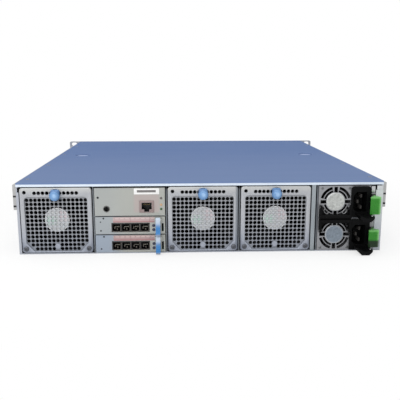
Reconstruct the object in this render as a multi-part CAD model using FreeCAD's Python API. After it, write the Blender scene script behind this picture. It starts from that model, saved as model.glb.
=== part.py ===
"""Rack-mounted disk shelf: chassis, hot-swap fans, port cards, power supplies and disk carriers.

Frame: millimetres, +Z up, X across the rack, the module side faces -Y and the disk side faces +Y.
The origin is the middle of the chassis floor, on its underside.
"""
import FreeCAD, Part
import math
import os

V = FreeCAD.Vector

# ---- chassis ----
BODY_H = 87.0           # two rack units, less the usual gap
BODY_D = 480.0          # from the module side to the disk side
WALL_T = 1.2            # sheet of the tray
COVER_T = 1.0           # sheet of the top cover
LIP_H = 4.4             # cover lip folded down over the module side
LIP_GAP = 1.1           # gap between that lip and the modules
COVER_FOLD_R = 1.5      # outer radius of the lip's fold
COVER_FLANGE_H = 5.0    # cover flange folded down inside each side wall
DIVIDER_T = 1.0         # upright sheets between the modules
SHELF_T = 0.8           # flat sheets between stacked modules
SEAT = 0.3              # running gap between a module and what carries it
SIDE_GAP = 0.4          # gap between a power supply and its guides
FAN_SIDE_GAP = 2.4      # gap between the outer fan module and the side wall
MODULE_GAP = 3.3        # gap between neighbouring modules, round a divider
DIVIDER_SETBACK = 2.5   # dividers start this far behind the module faces
POST_GAP = 9.5          # gap between the last fan module and the power supplies
POST_W = 4.8            # box-section post in that gap
WELD_GAP = 0.05         # seam under the sheet and post that are welded to the floor
PSU_WALL_GAP = 8.3      # between the power supplies and the side wall
POST_OFFSET = 1.3       # from the fan module to the post
WALL_FLANGE_GAP = 0.6   # rear flanges of the walls stop this far from the modules
FLANGE_DROP = 11.0      # those flanges end this far below the top, in an open notch
GUIDE_GAP = 2.0         # side guide of a power supply below its latch
RECESS_R = 11.0         # finger recesses pressed in the cover
RECESS_DEPTH = 1.4
RECESS_EDGE = 38.0      # from the side of the cover
RECESS_SETBACK = 261.0  # from the module side
CUT = 1.0               # how far cutting solids run past a face

# ---- rack ears and slide rails ----
EAR_W = 21.3            # each ear, past the side wall
EAR_T = 2.0
EAR_FLANGE = 22.0       # ear flange along the side wall
EAR_FLANGE_INSET = 4.0
EAR_CORNER_R = 3.0
HOLE_EDGE_X = 8.75      # rack slots from the ends of the ears
HOLE_EDGE_Z = 5.4       # and from their top and foot
SLOT_W = 7.0
SLOT_L = 10.0
RAIL_T = 1.5
RAIL_STANDOFF = 4.8     # how far the rails stand off the walls
RAIL_TOP_GAP = 2.5      # rails below the top of the chassis
RAIL_H = 30.5
RAIL_START = 4.0        # rail end from the module side
RAIL_END = 50.0         # rail end from the disk side

# ---- fan modules ----
FAN_W = 84.8
FAN_FACE_T = 4.0
FACE_R = 3.0            # outer corners of the face
POCKET_DEPTH = 2.5      # the grille lies this far behind the rim
RIM_SIDE = 5.4          # rim beside the pocket
RIM_TOP = 11.5          # rim above it
POCKET_BOTTOM = 2.1
POCKET_R = 4.0
POCKET_CUT_X = 9.0      # cut-off lower corners, for the screws
POCKET_CUT_Z = 10.5
HOLE = 7.6              # square grille holes, two real pitches apart
HOLE_PITCH = 10.0
COLUMN_GAP = 3.0        # least web beside the holes of a row
FIRST_ROW_GAP = 7.0     # first row of holes below the top of the pocket
ROW_FOOT_GAP = 5.0      # least web below the last row
TOP_SLOT_NEAR = 8.0     # slots through the top rim, from the middle of the face
TOP_SLOT_EDGE = 10.1    # to this far inside the edge of the pocket
TOP_SLOT_DROP = 6.5     # below the top of the face
TOP_SLOT_H = 3.6
CORNER_HOLE_EDGE = 0.5  # one lone hole in the rim, inside the edge of the pocket
CORNER_HOLE_DROP = 5.7
CORNER_HOLE_R = 2.0
BOSS_R = 3.4
BOSS_Z = 8.0
BOSS_PROUD = 1.0
RUNNER_Z = (16.0, 56.0) # feet of the guide ribs on the fan's sides
RUNNER_RIB_H = 8.0
RUNNER_SIDE_GAP = 0.5   # ribs stop this far inside the face's edge
FAN_SIDE = 2.4          # face past the side of the fan body
FAN_BAY_TAIL = 6.0      # bay walls run past the fan
FAN_DEPTH = 38.0
FAN_BORE_WALL = 2.0     # thinnest wall of the fan body
MOTOR_R = 16.5
MOTOR_RECESS = 0.5      # motor base behind the front of the frame
MOTOR_BASE_T = 3.0
STRUT_W = 3.0
STRUT_COUNT = 4
STRUT_START = 30.0      # degrees
STRUT_ROOT = 1.5        # struts reach into the motor base and the frame
STRUT_TIP = 0.7
BEARING_WALL = 1.0      # left in front of the bearing bore
BEARING_R = 4.5
BEARING_LEN = 16.0
SHAFT_R = 2.0
SHAFT_FIT = 0.05        # radial clearance of every shaft and pin
HUB_R = 18.0
HUB_WALL = 1.5
HUB_GAP = 1.5           # between motor base and hub
BLADE_COUNT = 5
BLADE_GAP = 0.9         # blade tip to bore
BLADE_T = 1.4
BLADE_LEN = 24.0
BLADE_PITCH = 42.0      # degrees from the axis
BLADE_ROOT = 1.0        # blades reach into the hub
HUB_SETBACK = 2.0       # hub stops this far before the frame's back

# ---- fan latch ----
KNOB_R = 6.3
KNOB_DROP = 9.5         # knob below the top of the face
KNOB_REACH = 10.0       # stands out from the face
KNOB_GAP = 1.0
LATCH_STEM_W = 5.2
LATCH_STEM_H = 7.4
LATCH_TRAVEL = 3.0
LATCH_PLATE_T = 1.4
LATCH_PLATE_W = 16.0
LATCH_SLOT_GAP = 0.3
LATCH_RELIEF_GAP = 0.6  # room round the plate in the fan frame
STEM_PROUD = 4.0        # stem stands out from the face
KNOB_FACE_R = 4.3       # flat front of the knob, inside its chamfer

# ---- controller and port cards ----
CARD_W = 83.8
CARD_H = 21.2
PANEL_T = 1.2
PANEL_FOLD = 5.0
TRAY_FLOOR_T = 1.0
TRAY_SIDE_H = 7.0
BOARD_T = 1.6
CAGE_W = 45.4           # block of four ports
CAGE_H = 10.8
CAGE_DEPTH = 30.0
CAGE_PROUD = 0.4        # shells of the ports stand out from the panels
CAGE_EDGE = 41.5        # centre of the block from the right end of the panel
CAGE_LIFT = 2.7         # block above the foot of the panel
PORT_COUNT = 4
PORT_W = 9.3
PORT_H = 8.6
PORT_DEPTH = 20.0
TONGUE_T = 1.2
TONGUE_W = 6.0
TONGUE_SETBACK = 8.0
TONGUE_Z = 3.4          # above the foot of the port
CAGE_BLOCK_Y = 4.0      # the block's foot on the board starts this far in
WINDOW_GAP = 0.2        # round what looks out through a panel
BOARD_SETBACK = 2.0     # boards stop this far from panel and tray end
SINK_Y = 90.0           # heat sinks on the boards, from the panel
SINK_LEN = 40.0
SINK_W = 44.0
SINK_H = 12.0           # plain one of a port card
SINK_BASE_T = 4.0
FIN_COUNT = 9
FIN_PITCH = 5.0
FIN_T = 1.6
FIN_TOP = 22.0
STATUS_EDGE = 13.8      # status holes from that end
STATUS_R = 1.7
STATUS_LOW = 5.1
STATUS_PITCH = 5.2
SLOT_EDGE = 3.0
VENT_SLOT_W = 2.4
VENT_SLOT_H = 10.0
VENT_SLOT_Z = 3.0
LEVER_EDGE = 8.5
LEVER_W = 5.4
LEVER_T = 2.6
LEVER_GAP = 0.3
PIVOT_R = 1.2
PIVOT_REACH = 4.2
PIVOT_DROP = 2.8        # pivot below the top of the panel
EYE_R = 2.4
EAR_PLATE_T = 1.0
EAR_PLATE_R = 2.0       # ear plates round the pivot
LEVER_TIP_REACH = 12.5
LEVER_TIP_H = 2.0
LEVER_TIP_LEN = 1.2
LEVER_TIP_DROP = 0.2    # tip below the foot of the panel
LEVER_BEND_Z = 6.0      # bends of the tail, above the foot of the panel
LEVER_KNEE_Z = 2.6
LEVER_SHOULDER_Z = 10.0
LEVER_KNEE_Y = 2.5
LEVER_FLARE = 1.4       # tail grows this much towards its tip
CONTROLLER_GAP = 1.0    # above the controller, to the top of the fan modules
JACK_SHELL_W = 17.2
JACK_SHELL_H = 14.2
JACK_EDGE = 21.8        # jack from the right end of the panel
JACK_Z = 11.0
JACK_CAVITY_W = 12.0
JACK_CAVITY_H = 8.0
JACK_NOTCH_W = 6.0
JACK_NOTCH_H = 3.0
JACK_DEPTH = 14.0
JACK_LEN = 21.0
JACK_CAVITY_RISE = 0.8  # cavity above the middle of the shell
JACK_FOOT_HALF = 6.0
SERIAL_EDGE = 14.1      # round port from the left end
SERIAL_Z = 8.4
SERIAL_R = 3.1
SERIAL_WALL = 0.7
SERIAL_PROUD = 0.3
SERIAL_LEN = 12.0
SERIAL_DEPTH = 10.0
SERIAL_FOOT_HALF = 5.0
SERIAL_FOOT_RISE = 4.0
LAMP_EDGE = 4.5         # column of lamp holes from the right end
LAMP_Z = (8.0, 13.2, 21.2)
LAMP_R = 1.4

# ---- power supplies ----
PSU_FAN_BAY = 39.45     # width of the case beside the inlet bezel
PSU_TOP_GAP = 0.2       # above the upper case, to the top of the fan modules
PSU_FACE_T = 1.0
PSU_FAN_SHIFT = 1.025   # fan centre from the middle of that width
PSU_CAVITY_WALL = 0.6   # thinnest wall round the fan chamber
PSU_CAVITY_DEPTH = 28.0
GUARD_RIM = 1.6         # middle of the outer slots inside the chamber wall
GUARD_STEP = 4.2        # and the inner ones inside these
GUARD_OUTER_W = 2.6
GUARD_INNER_W = 2.1
GUARD_SLOT_ARC = 61.0
GUARD_CROSS_W = 3.7
GUARD_CROSS_IN = 1.8    # cross slots run past the middles of both rings
GUARD_CROSS_OUT = 0.4
PSU_PIN_R = 1.5
PSU_TIP_GAP = 0.8       # blade tips from the chamber wall
PSU_HUB_R = 10.0
PSU_BLADES = 5
PSU_BLADE_LEN = 13.0
PSU_BLADE_T = 1.0
PSU_PIN_LEN = 21.0
PSU_HUB_START = 4.0     # hub behind the guard
PSU_HUB_TAIL = 4.0      # hub before the chamber's end
PSU_HUB_CAP = 2.0       # closed front of the hub
INLET_EDGE = 5.75       # inlet bezel from the side of the case
INLET_W = 24.1
BEZEL_GAP = 0.6         # bezel inside the top and foot of the case
INLET_REACH = 3.0
INLET_DEPTH = 20.0
SOCKET_SHIFT = 1.65     # socket's centre from the bezel's, towards the fan
SOCKET_W = 16.2
SOCKET_H = 24.4
SOCKET_DEPTH = 17.0
SOCKET_CHAMFER = 4.0
SOCKET_WALL = 1.2
BEZEL_R = 4.0           # upper corners of the bezel
BLADE_PIN_W = 2.0
BLADE_PIN_H = 4.0
BLADE_PIN_PITCH = 14.0
BLADE_PIN_LEN = 14.0
BLADE_PIN_DX = 2.0      # outer blades one way, middle blade the other
CLEAT_REACH = 24.0
CLEAT_X = 1.9           # cord cleat's centre from the bezel's
CLEAT_W = 17.0
CLEAT_H = 6.8
CLEAT_CORNER = 4.0      # cut-off lower corners
CLEAT_DROP = 1.2        # foot of the cleat below the bezel
CLEAT_SADDLE_R = 9.0    # hollow for the cord along its top
CLEAT_SADDLE_DEPTH = 2.2
BAIL_ARM_T = 2.4
BAIL_BAR_H = 4.9
BAIL_OVERHANG = 0.4     # the bar runs past the edge of the case
BAIL_BAR_CHAMFER = 1.2
BAIL_BACK_GAP = 1.2     # bar from the face
BAIL_EYE_R = 2.6
GUSSET_T = 1.8          # webs between bar and arms, cut round the fan guard
BAIL_BAR_REACH = 7.5
BAIL_PIVOT_DZ = 6.0     # pivots from the fan centre, towards the bar
BAIL_PIVOT_REACH = 4.2
BAIL_PIN_R = 1.3
BAIL_EDGE = 0.8         # bail from the edge of the case
BAIL_INLET_GAP = 0.35   # and from the inlet bezel
BAIL_EAR_T = 1.2
BAIL_EAR_R = 2.2
GUSSET_START = 3.2      # webs begin this far from the pivots
GRIP_H = 21.0
GRIP_DROP = 2.4         # latch centre below the case centre
GRIP_REACH = 15.0
GRIP_IN = 10.0          # grip's reach inwards from the side of the case
GRIP_OUT = 2.9          # and outwards
LATCH_LEAF_T = 1.3
LATCH_LEAF_LEN = 30.0
LATCH_CHANNEL_W = 5.6
LATCH_CHANNEL_GAP = 1.0
LATCH_HINGE_INSET = 2.2 # hinge from the side of the case
LATCH_PIN_R = 1.0
LATCH_EYE_R = 1.8
LATCH_EYE_ROOM = 2.2
LATCH_POST_LEN = 3.5
CATCH_START = 8.0       # catch on the leaf, behind the face
CATCH_LEN = 7.0
CATCH_OUT = 1.8
CATCH_HALF_H = 5.0

# ---- disks ----
DISK_COLUMNS = 4
DISK_ROWS = 3
CAGE_SHEET_T = 1.2
DISK_SIDE_GAP = 3.15    # between a disk and its bay
DISK_TOP_GAP = 0.566667 # leaves 26.1 mm for the disk
DISK_LEN = 147.0
CARRIER_LEN = 170.0
CARRIER_FACE_T = 12.0
CARRIER_OUT = 4.0       # carrier faces stand out past the chassis
CARRIER_GAP = 0.3
RUNNER_H = 16.0
RUNNER_ARM_T = 2.0
DISK_LIFT = 0.2
LEVER_POCKET = 6.0
LEVER_POCKET_INSET = 4.0
DISK_LEVER_T = 4.0
DISK_LEVER_H = 15.0
DISK_LEVER_GAP = 0.6
DISK_LEVER_SETBACK = 0.3
DISK_LEVER_END_GAP = 0.8
DISK_PIN_R = 1.2
DISK_EYE_R = 2.5
DISK_EYE_CUT = 1.0      # half width of the eye's flats
DISK_EYE_GAP = 0.7
RAMP_START = 16.0       # finger ramp, from the lever's free end
RAMP_MID = 8.0
RAMP_END = 4.0
RAMP_DEPTH = 2.4
RAMP_H = 9.0
MIDPLANE_T = 2.4
BOARD_EDGE = 1.0        # midplane board short of walls and cover
DISK_PLUG_X = (-32.0, 12.0)
DISK_PLUG_Z = 4.0
DISK_PLUG_H = 6.0
DISK_PLUG_GAP = 1.0
AIR_SLOT_HALF = 44.0
AIR_SLOT_Z = 14.0
AIR_SLOT_H = 10.0
CARD_PLUG_HALF = 25.0
PSU_PLUG_HALF = 30.0
CARD_PLUG_Z = 2.0
PSU_PLUG_Z = 3.0
MODULE_PLUG_H = 9.0
PLUG_GAP = 6.0          # carriers stop short of the midplane by a connector's height
MODULE_PLUG = 10.6      # and the modules by this much on the other side

# ---- places worked out from the sizes above ----
PSU_W = PSU_FAN_BAY + INLET_W + INLET_EDGE
FAN_ROW_W = 3.0 * FAN_W + CARD_W + 3.0 * MODULE_GAP
BODY_W = 2.0 * WALL_T + FAN_SIDE_GAP + FAN_ROW_W + POST_GAP + PSU_W + PSU_WALL_GAP
REAR = -BODY_D / 2.0
FRONT = BODY_D / 2.0
INNER_HALF = BODY_W / 2.0 - WALL_T
FLANGE_TOP = BODY_H - FLANGE_DROP
RECESS_X = BODY_W / 2.0 - RECESS_EDGE
RAIL_Z0 = BODY_H - RAIL_TOP_GAP - RAIL_H
EAR_SPAN = BODY_W + 2.0 * EAR_W
HOLE_SPAN_X = EAR_SPAN - 2.0 * HOLE_EDGE_X
HOLE_SPAN_Z = BODY_H - 2.0 * HOLE_EDGE_Z
CEILING = BODY_H - COVER_T
MODULE_Z0 = WALL_T + SEAT
MODULE_TOP = BODY_H - LIP_H - LIP_GAP
MODULE_H = MODULE_TOP - MODULE_Z0
POCKET_HALF_W = FAN_W / 2.0 - RIM_SIDE
POCKET_TOP = MODULE_H - RIM_TOP
TOP_SLOT_FAR = POCKET_HALF_W - TOP_SLOT_EDGE
TOP_SLOT_Z = MODULE_H - TOP_SLOT_DROP
CORNER_HOLE_X = CORNER_HOLE_EDGE - POCKET_HALF_W
CORNER_HOLE_Z = MODULE_H - CORNER_HOLE_DROP
KNOB_Z = MODULE_H - KNOB_DROP
FAN_SIZE = FAN_W - 2.0 * FAN_SIDE
FAN_BORE_R = min(FAN_SIZE, MODULE_H) / 2.0 - FAN_BORE_WALL
SHEET_START = REAR + COVER_T
FAN_BACK = REAR + FAN_FACE_T + FAN_DEPTH
FAN_LEFT_X = -INNER_HALF + FAN_SIDE_GAP + FAN_W / 2.0
CARD_X = FAN_LEFT_X + FAN_W / 2.0 + MODULE_GAP + CARD_W / 2.0
FAN_CENTRE_X = CARD_X + CARD_W / 2.0 + MODULE_GAP + FAN_W / 2.0
FAN_RIGHT_X = FAN_CENTRE_X + FAN_W + MODULE_GAP
POST_X = FAN_RIGHT_X + FAN_W / 2.0 + POST_OFFSET + POST_W / 2.0
PSU_X = FAN_RIGHT_X + FAN_W / 2.0 + POST_GAP + PSU_W / 2.0
CAGE_X = CARD_W / 2.0 - CAGE_EDGE
STATUS_X = CARD_W / 2.0 - STATUS_EDGE
SLOT_X = CARD_W / 2.0 - SLOT_EDGE
LEVER_X = CARD_W / 2.0 - LEVER_EDGE
JACK_X = CARD_W / 2.0 - JACK_EDGE
LAMP_X = CARD_W / 2.0 - LAMP_EDGE
SERIAL_X = SERIAL_EDGE - CARD_W / 2.0
PSU_H = (MODULE_H - PSU_TOP_GAP - SHELF_T - 2.0 * SEAT) / 2.0
PSU_FAN_X = (PSU_FAN_BAY - PSU_W) / 2.0 + PSU_FAN_SHIFT
PSU_CAVITY_R = min(PSU_FAN_BAY, PSU_H) / 2.0 - PSU_CAVITY_WALL
GUARD_OUTER_R = PSU_CAVITY_R - GUARD_RIM
GUARD_INNER_R = GUARD_OUTER_R - GUARD_STEP
PSU_ROTOR_R = PSU_CAVITY_R - PSU_TIP_GAP
INLET_X = (PSU_W - INLET_W) / 2.0 - INLET_EDGE
INLET_H = PSU_H - 2.0 * BEZEL_GAP
SOCKET_X = INLET_X - SOCKET_SHIFT
FAN_Z = MODULE_Z0 + MODULE_H / 2.0
CARD_Z = (MODULE_Z0, MODULE_Z0 + CARD_H + SHELF_T + 2.0 * SEAT)
CONTROLLER_Z = CARD_Z[1] + CARD_H + SHELF_T + 2.0 * SEAT
CONTROLLER_H = MODULE_TOP - CONTROLLER_GAP - CONTROLLER_Z
PSU_Z = (MODULE_Z0, MODULE_Z0 + PSU_H + SHELF_T + 2.0 * SEAT)
MIDPLANE_Y = FRONT + CARRIER_OUT - CARRIER_LEN - PLUG_GAP
MODULE_LEN = MIDPLANE_Y - MIDPLANE_T - MODULE_PLUG - REAR
MODULE_END = REAR + MODULE_LEN
DISK_OPEN_W = (2.0 * INNER_HALF - (DISK_COLUMNS + 1) * CAGE_SHEET_T) / DISK_COLUMNS
DISK_OPEN_H = (CEILING - WALL_T - (DISK_ROWS - 1) * CAGE_SHEET_T) / DISK_ROWS
DISK_W = DISK_OPEN_W - 2.0 * DISK_SIDE_GAP
DISK_H = DISK_OPEN_H - 2.0 * CARRIER_GAP - DISK_LIFT - DISK_TOP_GAP


# ---- building helpers ----
def block(x0, x1, y0, y1, z0, z1):
    """A box between two corners."""
    return Part.makeBox(x1 - x0, y1 - y0, z1 - z0, V(x0, y0, z0))


def rod_x(x0, x1, y, z, radius):
    return Part.makeCylinder(radius, x1 - x0, V(x0, y, z), V(1, 0, 0))


def rod_y(x, y0, y1, z, radius):
    return Part.makeCylinder(radius, y1 - y0, V(x, y0, z), V(0, 1, 0))


def rod_z(x, y, z0, z1, radius):
    return Part.makeCylinder(radius, z1 - z0, V(x, y, z0), V(0, 0, 1))


def prism(points, sweep):
    """A closed polygon swept along a vector."""
    wire = Part.makePolygon([V(*p) for p in points] + [V(*points[0])])
    return Part.Face(wire).extrude(V(*sweep))


def round_edges(shape, radius, along, keep=None):
    """Rounds the straight edges that run along one axis and pass the keep test."""
    edges = []
    for edge in shape.Edges:
        step = edge.lastVertex().Point - edge.firstVertex().Point
        if step.Length < 1e-6:
            continue
        if abs(step.normalize().dot(along)) > 0.999 and (keep is None or keep(edge.CenterOfMass)):
            edges.append(edge)
    return shape.makeFillet(radius, edges)


def fuse(pieces):
    """One solid from pieces that touch or overlap."""
    whole = pieces[0]
    if len(pieces) > 1:
        whole = whole.multiFuse(pieces[1:])
    return whole.removeSplitter()


def save(name, shape):
    """Writes one node, as a single solid or a group of them."""
    if shape.ShapeType == "Compound" and len(shape.Solids) == 1:
        shape = shape.Solids[0]
    shape.exportStep("parts/" + name + ".step")


# ---- chassis pieces ----
def span(a, b):
    """Two values in rising order."""
    return min(a, b), max(a, b)


def chassis_base():
    """Folded tray with rear flanges, and the upright sheets and shelves of the module bays."""
    pieces = [block(-BODY_W / 2, BODY_W / 2, REAR, FRONT, 0, WALL_T)]
    psu_right = PSU_X + PSU_W / 2
    fan_left = FAN_LEFT_X - FAN_W / 2
    for side, module_edge in ((-1, fan_left), (1, psu_right)):
        x0, x1 = span(side * BODY_W / 2, side * INNER_HALF)
        pieces.append(block(x0, x1, SHEET_START, FRONT, 0, CEILING))
        x0, x1 = span(side * BODY_W / 2, module_edge + side * WALL_FLANGE_GAP)
        pieces.append(block(x0, x1, REAR, SHEET_START + SEAT, 0, FLANGE_TOP))
    card_left = CARD_X - CARD_W / 2 - MODULE_GAP / 2
    card_right = CARD_X + CARD_W / 2 + MODULE_GAP / 2
    fans_between = FAN_CENTRE_X + FAN_W / 2 + MODULE_GAP / 2
    divider_start = REAR + DIVIDER_SETBACK
    fan_end = FAN_BACK + FAN_BAY_TAIL
    for x in (card_left, card_right):
        pieces.append(block(x - DIVIDER_T / 2, x + DIVIDER_T / 2, divider_start, MODULE_END, 0, CEILING))
    foot = WALL_T + WELD_GAP
    divider = block(fans_between - DIVIDER_T / 2, fans_between + DIVIDER_T / 2, divider_start, fan_end,
                    foot, CEILING)
    post = block(POST_X - POST_W / 2, POST_X + POST_W / 2, SHEET_START, fan_end, foot, CEILING)
    psu_side = PSU_X - PSU_W / 2 - SIDE_GAP
    pieces.append(block(psu_side - DIVIDER_T, psu_side, divider_start, MODULE_END, 0, CEILING))
    for z in (CARD_Z[1], CONTROLLER_Z):
        shelf_y = REAR + PANEL_T + SEAT
        pieces.append(block(card_left, card_right, shelf_y, MODULE_END, z - SEAT - SHELF_T, z - SEAT))
    psu_shelf = PSU_Z[1] - SEAT - SHELF_T
    pieces.append(block(psu_side, INNER_HALF, SHEET_START, MODULE_END, psu_shelf, psu_shelf + SHELF_T))
    guide_x = psu_right + SIDE_GAP
    for z in PSU_Z:
        low = z + PSU_H / 2 - GRIP_DROP - GRIP_H / 2 - GUIDE_GAP
        pieces.append(block(guide_x, INNER_HALF, SHEET_START, MODULE_END, z - SEAT, low))
    return Part.makeCompound([fuse(pieces), divider, post])


def top_cover():
    """Flat cover with a rear lip, side flanges and two pressed finger recesses."""
    plate = block(-BODY_W / 2, BODY_W / 2, REAR, FRONT, CEILING, BODY_H)
    lip = block(-BODY_W / 2, BODY_W / 2, REAR, REAR + COVER_T, BODY_H - LIP_H, CEILING)
    pieces = [plate, lip]
    for side in (-1, 1):
        near = side * (INNER_HALF - COVER_T)
        far = side * INNER_HALF
        pieces.append(block(min(near, far), max(near, far), REAR + COVER_T, MIDPLANE_Y - MIDPLANE_T,
                            CEILING - COVER_FLANGE_H + COVER_T, CEILING))
        y = REAR + RECESS_SETBACK
        pieces.append(rod_z(side * RECESS_X, y, BODY_H - RECESS_DEPTH - COVER_T, CEILING, RECESS_R + COVER_T))
    cover = fuse(pieces)
    for side in (-1, 1):
        y = REAR + RECESS_SETBACK
        cover = cover.cut(rod_z(side * RECESS_X, y, BODY_H - RECESS_DEPTH, BODY_H + 1, RECESS_R))
    return round_edges(cover, COVER_FOLD_R, V(1, 0, 0), lambda c: c.y < REAR + 0.01 and c.z > BODY_H - 0.01)


def drive_cage():
    """Egg-crate of uprights and shelves round the disk bays."""
    y0 = MIDPLANE_Y
    y1 = FRONT - 1.0
    pieces = []
    for i in range(DISK_COLUMNS + 1):
        x = -INNER_HALF + i * (DISK_OPEN_W + CAGE_SHEET_T)
        pieces.append(block(x, x + CAGE_SHEET_T, y0, y1, WALL_T, CEILING))
    for j in range(1, DISK_ROWS):
        z = WALL_T + j * (DISK_OPEN_H + CAGE_SHEET_T) - CAGE_SHEET_T
        pieces.append(block(-INNER_HALF, INNER_HALF, y0, y1, z, z + CAGE_SHEET_T))
    return fuse(pieces)


def disk_bay(column, row):
    """Centre and foot of one disk bay."""
    x = -INNER_HALF + CAGE_SHEET_T + DISK_OPEN_W / 2 + column * (DISK_OPEN_W + CAGE_SHEET_T)
    z = WALL_T + row * (DISK_OPEN_H + CAGE_SHEET_T)
    return x, z


def midplane_board():
    """Upright board with disk connectors ahead, module connectors behind and air slots."""
    back = MIDPLANE_Y - MIDPLANE_T
    edge = INNER_HALF - BOARD_EDGE
    board = block(-edge, edge, back, MIDPLANE_Y, WALL_T, CEILING - BOARD_EDGE)
    cuts = []
    plugs = []
    for column in range(DISK_COLUMNS):
        for row in range(DISK_ROWS):
            x, z = disk_bay(column, row)
            low = z + DISK_PLUG_Z
            plugs.append(block(x + DISK_PLUG_X[0], x + DISK_PLUG_X[1], MIDPLANE_Y,
                               MIDPLANE_Y + PLUG_GAP - DISK_PLUG_GAP, low, low + DISK_PLUG_H))
            cuts.append(block(x - AIR_SLOT_HALF, x + AIR_SLOT_HALF, back - CUT, MIDPLANE_Y + CUT,
                              z + AIR_SLOT_Z, z + AIR_SLOT_Z + AIR_SLOT_H))
    plug_y = MODULE_END + SEAT
    for z in CARD_Z + (CONTROLLER_Z,):
        low = z + CARD_PLUG_Z
        plugs.append(block(CARD_X - CARD_PLUG_HALF, CARD_X + CARD_PLUG_HALF, plug_y, back,
                           low, low + MODULE_PLUG_H))
    for z in PSU_Z:
        low = z + PSU_PLUG_Z
        plugs.append(block(PSU_X - PSU_PLUG_HALF, PSU_X + PSU_PLUG_HALF, plug_y, back,
                           low, low + MODULE_PLUG_H))
    return fuse([board.cut(Part.Compound(cuts))] + plugs)


def rack_ears():
    """Folded ears with the four rack slots."""
    ears = []
    for side in (-1, 1):
        wall = side * BODY_W / 2
        tip = side * EAR_SPAN / 2
        face = span(wall, tip)
        flange = span(wall, wall + side * EAR_T)
        ear = fuse([block(*face, FRONT - EAR_T, FRONT, 0, BODY_H),
                    block(*flange, FRONT - EAR_FLANGE, FRONT, EAR_FLANGE_INSET, BODY_H - EAR_FLANGE_INSET)])
        ear = round_edges(ear, EAR_CORNER_R, V(0, 1, 0), lambda c, tip=tip: abs(c.x - tip) < 0.01)
        x = side * HOLE_SPAN_X / 2
        half = (SLOT_L - SLOT_W) / 2
        back = FRONT - EAR_T - CUT
        for level in (-1, 1):
            z = BODY_H / 2 + level * HOLE_SPAN_Z / 2
            slot = fuse([block(x - half, x + half, back, FRONT + CUT, z - SLOT_W / 2, z + SLOT_W / 2),
                         rod_y(x - half, back, FRONT + CUT, z, SLOT_W / 2),
                         rod_y(x + half, back, FRONT + CUT, z, SLOT_W / 2)])
            ear = ear.cut(slot)
        ears.append(ear)
    return Part.Compound(ears)


def slide_rails():
    """Inner slide members: a channel with turned-out flanges and an end tab, one per side."""
    rails = []
    y0 = REAR + RAIL_START
    y1 = FRONT - RAIL_END
    top = RAIL_Z0 + RAIL_H
    for side in (-1, 1):
        wall = side * BODY_W / 2
        web = span(wall, wall + side * RAIL_T)
        reach = span(wall, wall + side * RAIL_STANDOFF)
        rail = fuse([block(*web, y0, y1, RAIL_Z0, top),
                     block(*reach, y0, y1, RAIL_Z0, RAIL_Z0 + RAIL_T),
                     block(*reach, y0, y1, top - RAIL_T, top),
                     block(*reach, y0, y0 + RAIL_T, RAIL_Z0, top)])
        rails.append(rail)
    return Part.Compound(rails)


# ---- fan modules ----
def grille_holes(cx):
    """Hole centres of one grille, as (x, z): rows that narrow at the cut-off corners of the pocket."""
    centres = []
    z = POCKET_TOP - FIRST_ROW_GAP
    while z - HOLE / 2 > POCKET_BOTTOM + ROW_FOOT_GAP:
        low = z - HOLE / 2 < POCKET_BOTTOM + POCKET_CUT_Z
        half = POCKET_HALF_W - COLUMN_GAP - (POCKET_CUT_X if low else 0.0)
        columns = 1 + int((2.0 * half - HOLE) / HOLE_PITCH)
        for column in range(columns):
            offset = (column - (columns - 1) / 2.0) * HOLE_PITCH
            over_boss = low and abs(offset) < HOLE_PITCH / 2
            if not over_boss:
                centres.append((cx + offset, MODULE_Z0 + z))
        z -= HOLE_PITCH
    return centres


def fan_housing(cx):
    """Face with a raised rim round the perforated grille, a latch slot and a locating boss."""
    z0 = MODULE_Z0
    back = REAR + FAN_FACE_T
    face = block(cx - FAN_W / 2, cx + FAN_W / 2, REAR, back, z0, z0 + MODULE_H)
    face = round_edges(face, FACE_R, V(0, 1, 0))
    low = z0 + POCKET_BOTTOM
    top = z0 + POCKET_TOP
    half = POCKET_HALF_W
    outline = [(cx - half, top), (cx - half, low + POCKET_CUT_Z), (cx - half + POCKET_CUT_X, low),
               (cx + half - POCKET_CUT_X, low), (cx + half, low + POCKET_CUT_Z), (cx + half, top)]
    pocket = prism([(x, REAR - CUT, z) for x, z in outline], (0, POCKET_DEPTH + CUT, 0))
    cuts = [round_edges(pocket, POCKET_R, V(0, 1, 0), lambda c: c.z > top - CUT)]
    h = HOLE / 2
    for x, z in grille_holes(cx):
        cuts.append(block(x - h, x + h, REAR, back + CUT, z - h, z + h))
    for side in (-1, 1):
        x0, x1 = span(cx + side * TOP_SLOT_NEAR, cx + side * TOP_SLOT_FAR)
        slot_z = z0 + TOP_SLOT_Z
        cuts.append(block(x0, x1, REAR - CUT, back + CUT, slot_z - TOP_SLOT_H / 2, slot_z + TOP_SLOT_H / 2))
    stem = LATCH_STEM_W / 2 + LATCH_SLOT_GAP
    knob_z = z0 + KNOB_Z
    cuts.append(block(cx - stem, cx + stem, REAR - CUT, back + CUT, knob_z - LATCH_TRAVEL - LATCH_SLOT_GAP,
                      knob_z + LATCH_STEM_H + LATCH_SLOT_GAP))
    cuts.append(rod_y(cx + CORNER_HOLE_X, REAR - CUT, back + CUT, z0 + CORNER_HOLE_Z, CORNER_HOLE_R))
    floor = REAR + POCKET_DEPTH
    boss = rod_y(cx, floor - BOSS_PROUD, back, z0 + BOSS_Z, BOSS_R)
    return fuse([face.cut(Part.Compound(cuts)), boss])


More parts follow.
